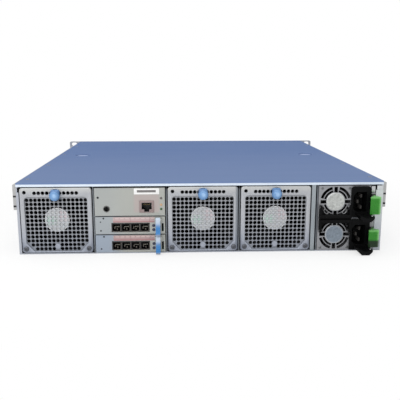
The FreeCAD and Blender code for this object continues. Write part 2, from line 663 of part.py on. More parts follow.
def fan_frame(cx):
    """Square fan body with a round duct, guide ribs on its sides, struts and a motor base."""
    y0 = REAR + FAN_FACE_T
    y1 = FAN_BACK
    half_h = MODULE_H / 2
    side_x = FAN_SIZE / 2
    pieces = [block(cx - side_x, cx + side_x, y0, y1, FAN_Z - half_h, FAN_Z + half_h)]
    for side in (-1, 1):
        x0, x1 = span(cx + side * side_x, cx + side * (FAN_W / 2 - RUNNER_SIDE_GAP))
        for foot in RUNNER_Z:
            low = MODULE_Z0 + foot
            pieces.append(block(x0, x1, y0, y1, low, low + RUNNER_RIB_H))
    shell = fuse(pieces).cut(rod_y(cx, y0 - CUT, y1 + CUT, FAN_Z, FAN_BORE_R))
    relief = LATCH_PLATE_W / 2 + LATCH_RELIEF_GAP
    plate_foot = MODULE_Z0 + KNOB_Z - KNOB_R - LATCH_TRAVEL - LATCH_RELIEF_GAP
    plate_back = y0 + LATCH_SLOT_GAP + LATCH_PLATE_T + LATCH_RELIEF_GAP
    shell = shell.cut(block(cx - relief, cx + relief, y0 - CUT, plate_back, plate_foot, MODULE_TOP + CUT))
    base = y0 + MOTOR_RECESS
    base_back = base + MOTOR_BASE_T
    inner = [rod_y(cx, base, base_back, FAN_Z, MOTOR_R),
             rod_y(cx, base, base_back + BEARING_LEN, FAN_Z, BEARING_R)]
    for i in range(STRUT_COUNT):
        strut = block(cx + MOTOR_R - STRUT_ROOT, cx + FAN_BORE_R + STRUT_TIP, base, base_back,
                      FAN_Z - STRUT_W / 2, FAN_Z + STRUT_W / 2)
        strut.rotate(V(cx, base, FAN_Z), V(0, 1, 0), STRUT_START + i * 360.0 / STRUT_COUNT)
        inner.append(strut)
    bore = rod_y(cx, base + BEARING_WALL, base_back + BEARING_LEN + CUT, FAN_Z, SHAFT_R + SHAFT_FIT)
    return fuse([shell] + inner).cut(bore)


def fan_blade(root_r, tip_r, length, thickness, pitch):
    """One flat blade set at a pitch to the Y axis; its square tip stays inside the tip radius."""
    half = length / 2 / math.cos(math.radians(pitch))
    corner = half * math.sin(math.radians(pitch)) + thickness
    reach = math.sqrt(tip_r ** 2 - corner ** 2)
    blade = block(root_r, reach, -half, half, -thickness / 2, thickness / 2)
    blade.rotate(V(0, 0, 0), V(1, 0, 0), pitch)
    return blade


def rotor(cx, cz, y0, hub_r, tip_r, hub_len, blade_len, count, blade_t):
    """Hub with pitched blades all round; the hub starts at y0."""
    pieces = [rod_y(0, 0, hub_len, 0, hub_r)]
    for i in range(count):
        blade = fan_blade(hub_r - BLADE_ROOT, tip_r, blade_len, blade_t, BLADE_PITCH)
        blade.translate(V(0, hub_len / 2, 0))
        blade.rotate(V(0, 0, 0), V(0, 1, 0), i * 360.0 / count)
        pieces.append(blade)
    whole = fuse(pieces)
    whole.translate(V(cx, y0, cz))
    return whole


def fan_rotor(cx):
    """Rotor of a fan module: hollow hub, five blades and a shaft that runs in the bearing."""
    hub_start = MOTOR_RECESS + MOTOR_BASE_T + HUB_GAP
    y0 = REAR + FAN_FACE_T + hub_start
    hub_len = FAN_DEPTH - hub_start - HUB_SETBACK
    body = rotor(cx, FAN_Z, y0, HUB_R, FAN_BORE_R - BLADE_GAP, hub_len, BLADE_LEN, BLADE_COUNT, BLADE_T)
    inside = y0 + hub_len - HUB_WALL
    body = body.cut(rod_y(cx, y0 - CUT, inside, FAN_Z, HUB_R - HUB_WALL))
    return fuse([body, rod_y(cx, y0, inside, FAN_Z, SHAFT_R)])


def fan_latch(cx):
    """Thumb latch: a turned knob and its stem outside, a sliding plate behind the face."""
    z = MODULE_Z0 + KNOB_Z
    reach = KNOB_REACH - KNOB_GAP
    edge = KNOB_R - KNOB_FACE_R
    profile = [(0, 0), (KNOB_R, 0), (KNOB_R, reach - edge), (KNOB_FACE_R, reach), (0, reach)]
    outline = [V(cx + r, REAR - KNOB_GAP - out, z) for r, out in profile]
    knob = Part.Face(Part.makePolygon(outline + [outline[0]])).revolve(V(cx, 0, z), V(0, 1, 0), 360)
    half = LATCH_STEM_W / 2
    stem_top = z + LATCH_STEM_H
    plate_y = REAR + FAN_FACE_T + LATCH_SLOT_GAP
    return fuse([knob,
                 block(cx - half, cx + half, REAR - STEM_PROUD, plate_y, z, stem_top),
                 block(cx - LATCH_PLATE_W / 2, cx + LATCH_PLATE_W / 2, plate_y, plate_y + LATCH_PLATE_T,
                       z - KNOB_R, stem_top)])


# ---- port cards and controller ----
def window(x, z0, z1, half):
    """Cutter for a window through a panel at the module side, with the gap round it."""
    return block(x - half - WINDOW_GAP, x + half + WINDOW_GAP, REAR - CUT, REAR + PANEL_T + CUT,
                 z0 - WINDOW_GAP, z1 + WINDOW_GAP)


def card_shell(z0, height, cuts):
    """Panel with folded edges and the open tray behind it."""
    left = CARD_X - CARD_W / 2
    right = CARD_X + CARD_W / 2
    panel = block(left, right, REAR, REAR + PANEL_T, z0, z0 + height)
    fold = REAR + PANEL_T
    pieces = [panel.cut(Part.Compound(cuts)),
              block(left, right, fold, MODULE_END, z0, z0 + TRAY_FLOOR_T),
              block(left, right, fold, REAR + PANEL_FOLD, z0 + height - PANEL_T, z0 + height)]
    for x in (left, right - TRAY_FLOOR_T):
        pieces.append(block(x, x + TRAY_FLOOR_T, fold, MODULE_END, z0, z0 + TRAY_SIDE_H))
    return pieces


def card_tray(z0):
    """Port card panel and tray, with the bracket and pin of the ejector lever."""
    cage_z = z0 + CAGE_LIFT
    cuts = [window(CARD_X + CAGE_X, cage_z, cage_z + CAGE_H, CAGE_W / 2)]
    for i in range(2):
        z = z0 + STATUS_LOW + i * STATUS_PITCH
        cuts.append(rod_y(CARD_X + STATUS_X, REAR - CUT, REAR + PANEL_T + CUT, z, STATUS_R))
    x = CARD_X + SLOT_X
    cuts.append(block(x - VENT_SLOT_W / 2, x + VENT_SLOT_W / 2, REAR - CUT, REAR + PANEL_T + CUT,
                      z0 + VENT_SLOT_Z, z0 + VENT_SLOT_Z + VENT_SLOT_H))
    pieces = card_shell(z0, CARD_H, cuts)
    pivot_z = z0 + CARD_H - PIVOT_DROP
    lever_x = CARD_X + LEVER_X
    inner = LEVER_W / 2 + LEVER_GAP
    for side in (-1, 1):
        near, far = span(lever_x + side * inner, lever_x + side * (inner + EAR_PLATE_T))
        pieces.append(block(near, far, REAR - PIVOT_REACH - EAR_PLATE_R, REAR,
                            pivot_z - EAR_PLATE_R, pivot_z + EAR_PLATE_R))
    pieces.append(rod_x(lever_x - inner, lever_x + inner, REAR - PIVOT_REACH, pivot_z, PIVOT_R))
    return fuse(pieces)


def card_board(z0):
    """Flat circuit board on the floor of a card tray."""
    half = CARD_W / 2 - TRAY_FLOOR_T - SEAT
    z = z0 + TRAY_FLOOR_T
    return block(CARD_X - half, CARD_X + half, REAR + BOARD_SETBACK, MODULE_END - BOARD_SETBACK,
                 z, z + BOARD_T)


def card_ports(z0):
    """Board with its four-port cage and a heat sink."""
    board_z = z0 + TRAY_FLOOR_T
    x = CARD_X + CAGE_X
    cage_z = z0 + CAGE_LIFT
    half = CAGE_W / 2
    sink = SINK_W / 2
    pieces = [card_board(z0),
              block(x - half, x + half, REAR - CAGE_PROUD, REAR + CAGE_DEPTH, cage_z, cage_z + CAGE_H),
              block(x - half, x + half, REAR + CAGE_BLOCK_Y, REAR + CAGE_DEPTH, board_z, cage_z + CUT),
              block(CARD_X - sink, CARD_X + sink, REAR + SINK_Y, REAR + SINK_Y + SINK_LEN,
                    board_z, board_z + SINK_H)]
    body = fuse(pieces)
    pitch = CAGE_W / PORT_COUNT
    low = cage_z + (CAGE_H - PORT_H) / 2
    mid = low + TONGUE_Z
    tongues = []
    for i in range(PORT_COUNT):
        port_x = x + (i - (PORT_COUNT - 1) / 2) * pitch
        body = body.cut(block(port_x - PORT_W / 2, port_x + PORT_W / 2, REAR - CUT, REAR + PORT_DEPTH,
                              low, low + PORT_H))
        tongues.append(block(port_x - TONGUE_W / 2, port_x + TONGUE_W / 2, REAR + TONGUE_SETBACK,
                             REAR + PORT_DEPTH, mid - TONGUE_T / 2, mid + TONGUE_T / 2))
    return fuse([body] + tongues)


def card_lever(z0):
    """Ejector lever: an eye round the pin and a long finger tail that kicks outwards."""
    pivot_z = z0 + CARD_H - PIVOT_DROP
    y = REAR - PIVOT_REACH
    x0 = CARD_X + LEVER_X - LEVER_W / 2
    back = y + EYE_R
    front = y - EYE_R
    tip_y = REAR - LEVER_TIP_REACH
    tip_z = z0 - LEVER_TIP_DROP
    bend_z = z0 + LEVER_BEND_Z
    points = [(back, pivot_z), (back, bend_z), (back - LEVER_KNEE_Y, z0 + LEVER_KNEE_Z),
              (tip_y + LEVER_TIP_LEN, tip_z), (tip_y, tip_z + LEVER_TIP_H),
              (back - LEVER_T - LEVER_KNEE_Y, bend_z),
              (back - LEVER_T - LEVER_FLARE, z0 + LEVER_SHOULDER_Z), (front, pivot_z)]
    tail = prism([(x0, py, pz) for py, pz in points], (LEVER_W, 0, 0))
    eye = rod_x(x0, x0 + LEVER_W, y, pivot_z, EYE_R)
    return fuse([tail, eye]).cut(rod_x(x0 - CUT, x0 + LEVER_W + CUT, y, pivot_z, PIVOT_R + SHAFT_FIT))


def controller_tray():
    """Controller panel and tray with its jack window, round port and lamp holes."""
    z0 = CONTROLLER_Z
    z = z0 + JACK_Z
    back = REAR + PANEL_T + CUT
    cuts = [window(CARD_X + JACK_X, z - JACK_SHELL_H / 2, z + JACK_SHELL_H / 2, JACK_SHELL_W / 2),
            rod_y(CARD_X + SERIAL_X, REAR - CUT, back, z0 + SERIAL_Z, SERIAL_R + SERIAL_WALL + WINDOW_GAP)]
    for dz in LAMP_Z:
        cuts.append(rod_y(CARD_X + LAMP_X, REAR - CUT, back, z0 + dz, LAMP_R))
    return fuse(card_shell(z0, CONTROLLER_H, cuts))


def controller_board():
    """Controller board with the shielded jack, the round port and a finned heat sink."""
    z0 = CONTROLLER_Z
    board_z = z0 + TRAY_FLOOR_T
    x = CARD_X + JACK_X
    z = z0 + JACK_Z
    serial_x = CARD_X + SERIAL_X
    serial_z = z0 + SERIAL_Z
    shell = JACK_SHELL_W / 2
    sink_y0 = REAR + SINK_Y
    sink_y1 = sink_y0 + SINK_LEN
    pieces = [card_board(z0),
              block(x - shell, x + shell, REAR - CAGE_PROUD, REAR + JACK_LEN,
                    z - JACK_SHELL_H / 2, z + JACK_SHELL_H / 2),
              block(x - JACK_FOOT_HALF, x + JACK_FOOT_HALF, REAR + BOARD_SETBACK, REAR + JACK_LEN,
                    board_z, z),
              rod_y(serial_x, REAR - SERIAL_PROUD, REAR + SERIAL_LEN, serial_z, SERIAL_R + SERIAL_WALL),
              block(serial_x - SERIAL_FOOT_HALF, serial_x + SERIAL_FOOT_HALF, REAR + BOARD_SETBACK,
                    REAR + SERIAL_LEN + BOARD_SETBACK, board_z, serial_z + SERIAL_FOOT_RISE),
              block(CARD_X - SINK_W / 2, CARD_X + SINK_W / 2, sink_y0, sink_y1,
                    board_z, board_z + SINK_BASE_T)]
    for i in range(FIN_COUNT):
        fin_x = CARD_X + (i - (FIN_COUNT - 1) / 2) * FIN_PITCH
        pieces.append(block(fin_x - FIN_T / 2, fin_x + FIN_T / 2, sink_y0, sink_y1,
                            board_z + SINK_BASE_T - CUT, board_z + FIN_TOP))
    low = z - JACK_CAVITY_H / 2 + JACK_CAVITY_RISE
    half = JACK_CAVITY_W / 2
    notch = JACK_NOTCH_W / 2
    cavity = fuse([block(x - half, x + half, REAR - CUT, REAR + JACK_DEPTH, low, low + JACK_CAVITY_H),
                   block(x - notch, x + notch, REAR - CUT, REAR + JACK_DEPTH, low - JACK_NOTCH_H, low)])
    bore = rod_y(serial_x, REAR - CUT, REAR + SERIAL_DEPTH, serial_z, SERIAL_R)
    return fuse(pieces).cut(Part.Compound([cavity, bore]))


# ---- power supplies ----
def arc_slot(cx, cz, radius, width, start, sweep, y0, y1):
    """A curved slot about the Y axis, centred on a radius, from a start angle in degrees."""
    ring = rod_y(cx, y0, y1, cz, radius + width / 2).cut(rod_y(cx, y0 - 1, y1 + 1, cz, radius - width / 2))
    reach = radius * 2
    a0 = math.radians(start)
    a1 = math.radians(start + sweep)
    corners = [(cx, y0, cz), (cx + reach * math.cos(a0), y0, cz + reach * math.sin(a0)),
               (cx + reach * math.cos(a1), y0, cz + reach * math.sin(a1))]
    return ring.common(prism(corners, (0, y1 - y0, 0)))


def psu_fan_x():
    return PSU_X + PSU_FAN_X


def psu_case(z0, bail_side):
    """Sheet case with the stamped fan guard, fan chamber, inlet window and latch channel."""
    mid = z0 + PSU_H / 2
    left = PSU_X - PSU_W / 2
    right = PSU_X + PSU_W / 2
    fan_x = psu_fan_x()
    through = REAR + PSU_FACE_T + CUT
    chamber_end = REAR + PSU_CAVITY_DEPTH
    case = block(left, right, REAR, MODULE_END, z0, z0 + PSU_H)
    cuts = [rod_y(fan_x, REAR + PSU_FACE_T, chamber_end, mid, PSU_CAVITY_R)]
    for quadrant in range(4):
        turn = quadrant * 90.0
        start = turn + (90.0 - GUARD_SLOT_ARC) / 2
        for radius, width in ((GUARD_OUTER_R, GUARD_OUTER_W), (GUARD_INNER_R, GUARD_INNER_W)):
            cuts.append(arc_slot(fan_x, mid, radius, width, start, GUARD_SLOT_ARC, REAR - CUT, through))
        cross = block(fan_x + GUARD_INNER_R - GUARD_CROSS_IN, fan_x + GUARD_OUTER_R + GUARD_CROSS_OUT,
                      REAR - CUT, through, mid - GUARD_CROSS_W / 2, mid + GUARD_CROSS_W / 2)
        cross.rotate(V(fan_x, REAR, mid), V(0, 1, 0), turn)
        cuts.append(cross)
    socket_x = PSU_X + SOCKET_X
    boot_w = SOCKET_W / 2 + SOCKET_WALL
    boot_h = SOCKET_H / 2 + SOCKET_WALL
    cuts.append(block(socket_x - boot_w, socket_x + boot_w, REAR - CUT, REAR + INLET_DEPTH,
                      mid - boot_h, mid + boot_h))
    grip_z = mid - GRIP_DROP
    low = grip_z - GRIP_H / 2 - LATCH_CHANNEL_GAP
    high = grip_z + GRIP_H / 2 + LATCH_CHANNEL_GAP
    eye_y = REAR + LATCH_LEAF_LEN
    hinge_x = latch_hinge_x()
    post_end = eye_y + LATCH_POST_LEN - CUT
    cuts.append(block(right - LATCH_CHANNEL_W, right + CUT, REAR - CUT, eye_y, low, high))
    cuts.append(rod_z(hinge_x, eye_y, low, high, LATCH_EYE_ROOM))
    cuts.append(block(hinge_x, right + CUT, eye_y - CUT, post_end, low, high))
    body = case
    for cut in cuts:
        body = body.cut(cut)
    pieces = [body,
              rod_y(fan_x, chamber_end - PSU_PIN_LEN, chamber_end, mid, PSU_PIN_R),
              rod_z(hinge_x, eye_y, low, high, LATCH_PIN_R)]
    pivot_y = REAR - BAIL_PIVOT_REACH
    pivot_z = mid + bail_side * BAIL_PIVOT_DZ
    for side in (-1, 1):
        near, far = bail_ear_span(side)
        pieces.append(block(near, far, pivot_y - BAIL_EAR_R, REAR,
                            pivot_z - BAIL_EAR_R, pivot_z + BAIL_EAR_R))
        arm_near, arm_far = bail_arm_span(side)
        pieces.append(rod_x(min(near, arm_near), max(far, arm_far), pivot_y, pivot_z, BAIL_PIN_R))
    return fuse(pieces)


def bail_arm_span(side):
    """The x range of one bail arm: -1 by the edge of the case, +1 beside the inlet bezel."""
    if side < 0:
        outer = PSU_X - PSU_W / 2 + BAIL_EDGE
    else:
        outer = PSU_X + INLET_X - INLET_W / 2 - BAIL_INLET_GAP
    return span(outer, outer - side * BAIL_ARM_T)


def bail_ear_span(side):
    """The x range of the case ear inside one bail arm."""
    low, high = bail_arm_span(side)
    near = (high if side < 0 else low) - side * SEAT
    return span(near, near - side * BAIL_EAR_T)


def psu_handle(z0, bail_side):
    """Folding bail: two arms with eyes on the case pins, a chamfered cross bar and corner webs."""
    mid = z0 + PSU_H / 2
    fan_x = psu_fan_x()
    pivot_z = mid + bail_side * BAIL_PIVOT_DZ
    far = mid + bail_side * (PSU_H / 2 + BAIL_OVERHANG)
    near = far - bail_side * BAIL_BAR_H
    y = REAR - BAIL_PIVOT_REACH
    front = REAR - BAIL_BAR_REACH
    back = REAR - BAIL_BACK_GAP
    left, _ = bail_arm_span(-1)
    _, right = bail_arm_span(1)
    c = BAIL_BAR_CHAMFER
    inset = far - bail_side * c
    section = [(back, near), (back, inset), (back - c, far), (front + c, far), (front, inset),
               (front, near + bail_side * c), (front + c, near)]
    pieces = [prism([(left, py, pz) for py, pz in section], (right - left, 0, 0))]
    for side in (-1, 1):
        arm = bail_arm_span(side)
        arm_z = span(pivot_z, near + bail_side * c)
        pieces.append(rod_x(*arm, y, pivot_z, BAIL_EYE_R))
        pieces.append(block(*arm, y - BAIL_EYE_R, y + BAIL_EYE_R, *arm_z))
    web_z = span(pivot_z + bail_side * GUSSET_START, near + bail_side * c)
    web = block(left, right, back - GUSSET_T, back, *web_z)
    pieces.append(web.cut(rod_y(fan_x, back - GUSSET_T - CUT, back + CUT, mid, PSU_CAVITY_R)))
    bail = fuse(pieces)
    return bail.cut(rod_x(left - CUT, right + CUT, y, pivot_z, BAIL_PIN_R + SHAFT_FIT))


def psu_inlet(z0):
    """Mains inlet bezel: arched plate, keyed socket with three blades, and the cord cleat."""
    mid = z0 + PSU_H / 2
    bezel_x = PSU_X + INLET_X
    x = PSU_X + SOCKET_X
    root = REAR - INLET_REACH
    low = mid - INLET_H / 2
    bezel = block(bezel_x - INLET_W / 2, bezel_x + INLET_W / 2, root, REAR, low, mid + INLET_H / 2)
    bezel = round_edges(bezel, BEZEL_R, V(0, 1, 0), lambda c: c.z > mid)
    w = SOCKET_W / 2
    h = SOCKET_H / 2
    c = SOCKET_CHAMFER
    boot = block(x - w - SOCKET_WALL, x + w + SOCKET_WALL, REAR, REAR + INLET_DEPTH,
                 mid - h - SOCKET_WALL, mid + h + SOCKET_WALL)
    y = root - CUT
    outline = [(x - w + c, y, mid - h), (x + w, y, mid - h), (x + w, y, mid + h), (x - w + c, y, mid + h),
               (x - w, y, mid + h - c), (x - w, y, mid - h + c)]
    pieces = [fuse([bezel, boot]).cut(prism(outline, (0, SOCKET_DEPTH + CUT, 0)))]
    end = root + SOCKET_DEPTH
    side_blade = BLADE_PIN_PITCH / 2
    for dx, dz in ((BLADE_PIN_DX, side_blade), (BLADE_PIN_DX, -side_blade), (-BLADE_PIN_DX, 0.0)):
        pieces.append(block(x + dx - BLADE_PIN_W / 2, x + dx + BLADE_PIN_W / 2, end - BLADE_PIN_LEN, end,
                            mid + dz - BLADE_PIN_H / 2, mid + dz + BLADE_PIN_H / 2))
    cleat_x = bezel_x + CLEAT_X
    half = CLEAT_W / 2
    foot = low - CLEAT_DROP
    top = foot + CLEAT_H
    corner = foot + CLEAT_CORNER
    tip = REAR - CLEAT_REACH
    section = [(cleat_x - half, top), (cleat_x - half, corner), (cleat_x - half + CLEAT_CORNER, foot),
               (cleat_x + half - CLEAT_CORNER, foot), (cleat_x + half, corner), (cleat_x + half, top)]
    cleat = prism([(px, tip, pz) for px, pz in section], (0, root - tip, 0))
    saddle_z = top + CLEAT_SADDLE_R - CLEAT_SADDLE_DEPTH
    saddle = rod_y(cleat_x, tip - CUT, root, saddle_z, CLEAT_SADDLE_R)
    return fuse(pieces + [cleat.cut(saddle)])


def psu_rotor(z0):
    """Small five-blade rotor that runs on the pin of the fan chamber."""
    mid = z0 + PSU_H / 2
    fan_x = psu_fan_x()
    y0 = REAR + PSU_FACE_T + PSU_HUB_START
    length = PSU_CAVITY_DEPTH - PSU_FACE_T - PSU_HUB_START - PSU_HUB_TAIL
    body = rotor(fan_x, mid, y0, PSU_HUB_R, PSU_ROTOR_R, length, PSU_BLADE_LEN, PSU_BLADES, PSU_BLADE_T)
    return body.cut(rod_y(fan_x, y0 + PSU_HUB_CAP, y0 + length + CUT, mid, PSU_PIN_R + SHAFT_FIT))


def latch_hinge_x():
    return PSU_X + PSU_W / 2 - LATCH_HINGE_INSET


def psu_latch(z0):
    """Release latch: hooked thumb grip outside, spring leaf and catch in the side channel."""
    grip_z = z0 + PSU_H / 2 - GRIP_DROP
    low = grip_z - GRIP_H / 2
    right = PSU_X + PSU_W / 2
    hinge_x = latch_hinge_x()
    leaf_x = hinge_x - LATCH_LEAF_T / 2
    outer = leaf_x + LATCH_LEAF_T
    front = REAR - GRIP_REACH
    eye_y = REAR + LATCH_LEAF_LEN
    inward = right - GRIP_IN
    outward = right + GRIP_OUT
    points = [(leaf_x, REAR - 1.0), (leaf_x, REAR - 5.0), (leaf_x - 2.5, REAR - 8.0),
              (inward + 1.5, front + 4.0), (inward, front + 1.6), (inward + 1.5, front),
              (outward - 2.0, front), (outward, front + 2.4), (outward - 0.5, front + 5.0),
              (outer, REAR - 6.0), (outer, REAR - 1.0)]
    grip = prism([(px, py, low) for px, py in points], (0, 0, GRIP_H))
    leaf = block(leaf_x, outer, REAR - 2.0, eye_y, low, low + GRIP_H)
    root = outer - LATCH_LEAF_T / 2
    start = REAR + CATCH_START
    wedge = [(root, start), (root, start + CATCH_LEN), (outer, start + CATCH_LEN),
             (outer + CATCH_OUT, start + 1.0), (outer + CATCH_OUT, start)]
    catch = prism([(px, py, grip_z - CATCH_HALF_H) for px, py in wedge], (0, 0, 2 * CATCH_HALF_H))
    eye = rod_z(hinge_x, eye_y, low, low + GRIP_H, LATCH_EYE_R)
    bore = rod_z(hinge_x, eye_y, low - CUT, low + GRIP_H + CUT, LATCH_PIN_R + SHAFT_FIT)
    return fuse([grip, leaf, catch, eye]).cut(bore)


# ---- disks ----
def disk_carrier(column, row):
    """Carrier with its disk: bezel with a lever pocket, side runners and the disk body."""
    x, z = disk_bay(column, row)
    w = DISK_OPEN_W / 2 - CARRIER_GAP
    low = z + CARRIER_GAP
    high = z + DISK_OPEN_H - CARRIER_GAP
    mid = (low + high) / 2
    face_y = FRONT + CARRIER_OUT
    bezel_y = face_y - CARRIER_FACE_T
    back = face_y - CARRIER_LEN
    pocket_w = w - LEVER_POCKET_INSET
    pocket_h = DISK_LEVER_H / 2 + DISK_LEVER_GAP
    bezel = block(x - w, x + w, bezel_y, face_y, low, high)
    bezel = bezel.cut(block(x - pocket_w, x + pocket_w, face_y - LEVER_POCKET, face_y + CUT,
                            mid - pocket_h, mid + pocket_h))
    disk_z = low + DISK_LIFT
    disk = block(x - DISK_W / 2, x + DISK_W / 2, back, back + DISK_LEN, disk_z, disk_z + DISK_H)
    pieces = [bezel, disk]
    for side in (-1, 1):
        edge = x + side * DISK_W / 2
        runner = span(x + side * w, edge)
        arm = span(edge, edge - side * RUNNER_ARM_T)
        pieces.append(block(*runner, back, bezel_y, mid - RUNNER_H / 2, mid + RUNNER_H / 2))
        pieces.append(block(*arm, back + DISK_LEN, bezel_y, mid - RUNNER_H / 2, mid + RUNNER_H / 2))
    pin_x, pin_y = disk_pivot(column, row)
    pieces.append(rod_z(pin_x, pin_y, mid - pocket_h, mid + pocket_h, DISK_PIN_R))
    return fuse(pieces)


def disk_pivot(column, row):
    """Place of a disk lever's pin, as (x, y)."""
    x, _ = disk_bay(column, row)
    pocket_left = x - DISK_OPEN_W / 2 + CARRIER_GAP + LEVER_POCKET_INSET
    return pocket_left + DISK_EYE_R + DISK_EYE_GAP, FRONT + CARRIER_OUT - DISK_LEVER_SETBACK - DISK_EYE_R


def disk_lever(column, row):
    """Carrier lever: an eye at the left and a flat handle with a finger ramp at its free end."""
    x, z = disk_bay(column, row)
    mid = z + DISK_OPEN_H / 2
    low = mid - DISK_LEVER_H / 2
    pin_x, pin_y = disk_pivot(column, row)
    end = x + DISK_OPEN_W / 2 - CARRIER_GAP - LEVER_POCKET_INSET - DISK_LEVER_END_GAP
    r = DISK_EYE_R
    c = DISK_EYE_CUT
    y1 = pin_y + r
    y0 = y1 - DISK_LEVER_T
    outline = [(end, y1), (pin_x - c, y1), (pin_x - r, pin_y + c), (pin_x - r, pin_y - c),
               (pin_x - c, pin_y - r), (pin_x + c, pin_y - r), (pin_x + r, y0), (end, y0)]
    lever = prism([(px, py, low) for px, py in outline], (0, 0, DISK_LEVER_H))
    floor = y1 - RAMP_DEPTH
    dish = [(end - RAMP_START, y1), (end - RAMP_MID, floor), (end - RAMP_END, floor),
            (end - RAMP_END, y1 + CUT), (end - RAMP_START, y1 + CUT)]
    ramp = prism([(px, py, mid - RAMP_H / 2) for px, py in dish], (0, 0, RAMP_H))
    bore = rod_z(pin_x, pin_y, low - CUT, low + DISK_LEVER_H + CUT, DISK_PIN_R + SHAFT_FIT)
    return lever.cut(Part.Compound([ramp, bore]))


def main():
    os.makedirs("parts", exist_ok=True)
    save("chassis_base", chassis_base())
    save("top_cover", top_cover())
    save("drive_cage", drive_cage())
    save("midplane_board", midplane_board())
    save("rack_ears", rack_ears())
    save("slide_rails", slide_rails())
    for name, cx in (("left", FAN_LEFT_X), ("centre", FAN_CENTRE_X), ("right", FAN_RIGHT_X)):
        save("fan_" + name + "_housing", fan_housing(cx))
        save("fan_" + name + "_frame", fan_frame(cx))
        save("fan_" + name + "_rotor", fan_rotor(cx))
        save("fan_" + name + "_latch", fan_latch(cx))
    save("controller_tray", controller_tray())
    save("controller_board", controller_board())
    for name, z0 in (("lower", CARD_Z[0]), ("upper", CARD_Z[1])):
        save("card_" + name + "_tray", card_tray(z0))
        save("card_" + name + "_ports", card_ports(z0))
        save("card_" + name + "_lever", card_lever(z0))
    for name, z0, bail_side in (("lower", PSU_Z[0], 1), ("upper", PSU_Z[1], -1)):
        save("psu_" + name + "_case", psu_case(z0, bail_side))
        save("psu_" + name + "_inlet", psu_inlet(z0))
        save("psu_" + name + "_rotor", psu_rotor(z0))
        save("psu_" + name + "_handle", psu_handle(z0, bail_side))
        save("psu_" + name + "_latch", psu_latch(z0))
    for row in range(DISK_ROWS):
        for column in range(DISK_COLUMNS):
            number = row * DISK_COLUMNS + column + 1
            save("disk_%02d_carrier" % number, disk_carrier(column, row))
            save("disk_%02d_lever" % number, disk_lever(column, row))


main()
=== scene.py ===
import math

import bmesh
import bpy
import numpy as np
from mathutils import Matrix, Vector
from mathutils.geometry import delaunay_2d_cdt


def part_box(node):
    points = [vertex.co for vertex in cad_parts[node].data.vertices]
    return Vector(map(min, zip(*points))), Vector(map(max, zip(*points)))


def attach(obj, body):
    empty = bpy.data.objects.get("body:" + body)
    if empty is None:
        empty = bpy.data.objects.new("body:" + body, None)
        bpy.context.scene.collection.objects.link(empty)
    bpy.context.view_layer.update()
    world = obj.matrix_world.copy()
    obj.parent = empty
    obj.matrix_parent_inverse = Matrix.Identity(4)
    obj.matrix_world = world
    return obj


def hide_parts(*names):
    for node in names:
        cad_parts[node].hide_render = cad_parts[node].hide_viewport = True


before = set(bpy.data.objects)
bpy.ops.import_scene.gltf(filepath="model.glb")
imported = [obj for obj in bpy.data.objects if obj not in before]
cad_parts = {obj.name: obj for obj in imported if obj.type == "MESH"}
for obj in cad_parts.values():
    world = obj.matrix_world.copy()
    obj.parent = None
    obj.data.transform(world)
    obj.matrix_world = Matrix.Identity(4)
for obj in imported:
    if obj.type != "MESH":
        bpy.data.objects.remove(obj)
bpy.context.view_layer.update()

# Lengths below are in millimetres; MM turns them into the frame's metres when a mesh is made.
MM = 0.001
FANS = ("left", "centre", "right")
PAIR = ("lower", "upper")
DISKS = range(1, 13)

# ---- fan faces ----
GRILLE_PITCH = 4.95
GRILLE_ROW = 5
GRILLE_HOLE_R = 2.25
HOLE_SIDES = 16
GRILLE_ROWS = (15,) * 11 + (13, 11)
RIM_T = 4
POCKET_DEPTH = 2.5
POCKET_HALF = 37
HUB_LABEL_R = 14.7

# ---- port cards and controller, from a card's foot or the controller's foot ----
CAGE_X = 0.4
CAGE_W = 45.4
CAGE_LIFT = 2.7
PORT_COUNT = 4
STATUS_X = 28.1
STATUS_Z = (5.1, 10.3)
JACK_X = 20.1
JACK_Z = 11
SERIAL_X = -27.8
SERIAL_Z = 8.4
LAMP_X = 37.4

# ---- power supplies, from the middle of the case ----
GUARD_X = -13.9
SOCKET_X = 15.2
SOCKET_END = 14
PIN_PLACES = ((2, 7), (2, -7), (-2, 0))

# ---- disk carriers ----
CARRIER_BAND = 5.3
VENT_PITCH = 7.2
VENT_LENGTH = 5.4

# ---- walls and cover ----
RECESS_EDGE = 38
RECESS_SETBACK = 261
FLANGE_TOP = 76

# ---- meshes ----
SHARP_DEG = 35

# ---- camera and light, in metres and degrees ----
SENSOR_MM = 36
LENS_MM = 51.75
CAMERA_X = -0.0307
CAMERA_BACK = 0.6743
CAMERA_Z = 0.205
CAMERA_DOWN_DEG = 11.7
CAMERA_TURN_DEG = -2.4
FILL_LIGHT = 0.62


# ==== Shader maths ====
def operation(kind):
    """Method for an operator: it adds one Math node of a kind."""
    return lambda wire, *others: wire.math(kind, *others)


class Wire:
    """One value in a node tree; arithmetic on it adds Math nodes."""

    def __init__(self, paint, socket):
        self.paint = paint
        self.socket = socket

    def math(self, operation, *others):
        return self.paint.node("ShaderNodeMath", {"operation": operation}, dict(enumerate((self, *others))))

    __add__ = __radd__ = operation("ADD")
    __mul__ = __rmul__ = operation("MULTIPLY")
    __sub__ = operation("SUBTRACT")
    __pow__ = operation("POWER")
    __gt__ = operation("GREATER_THAN")
    __lt__ = operation("LESS_THAN")
    __abs__ = operation("ABSOLUTE")

    def __rsub__(self, other):
        return self.paint.node("ShaderNodeMath", {"operation": "SUBTRACT"}, {0: other, 1: self})

    def within(self, low, high):
        """1 between two limits, 0 beyond them."""
        return (self > low) * (self < high)

    def rise(self, low, high):
        """Smooth rise from 0 to 1 between two limits."""
        return self.paint.node("ShaderNodeMapRange", {"interpolation_type": "SMOOTHSTEP"},
                               {0: self, 1: low, 2: high, 3: 0, 4: 1})

    def fall(self, low, high):
        """Smooth fall from 1 to 0 between two limits."""
        return 1 - self.rise(low, high)


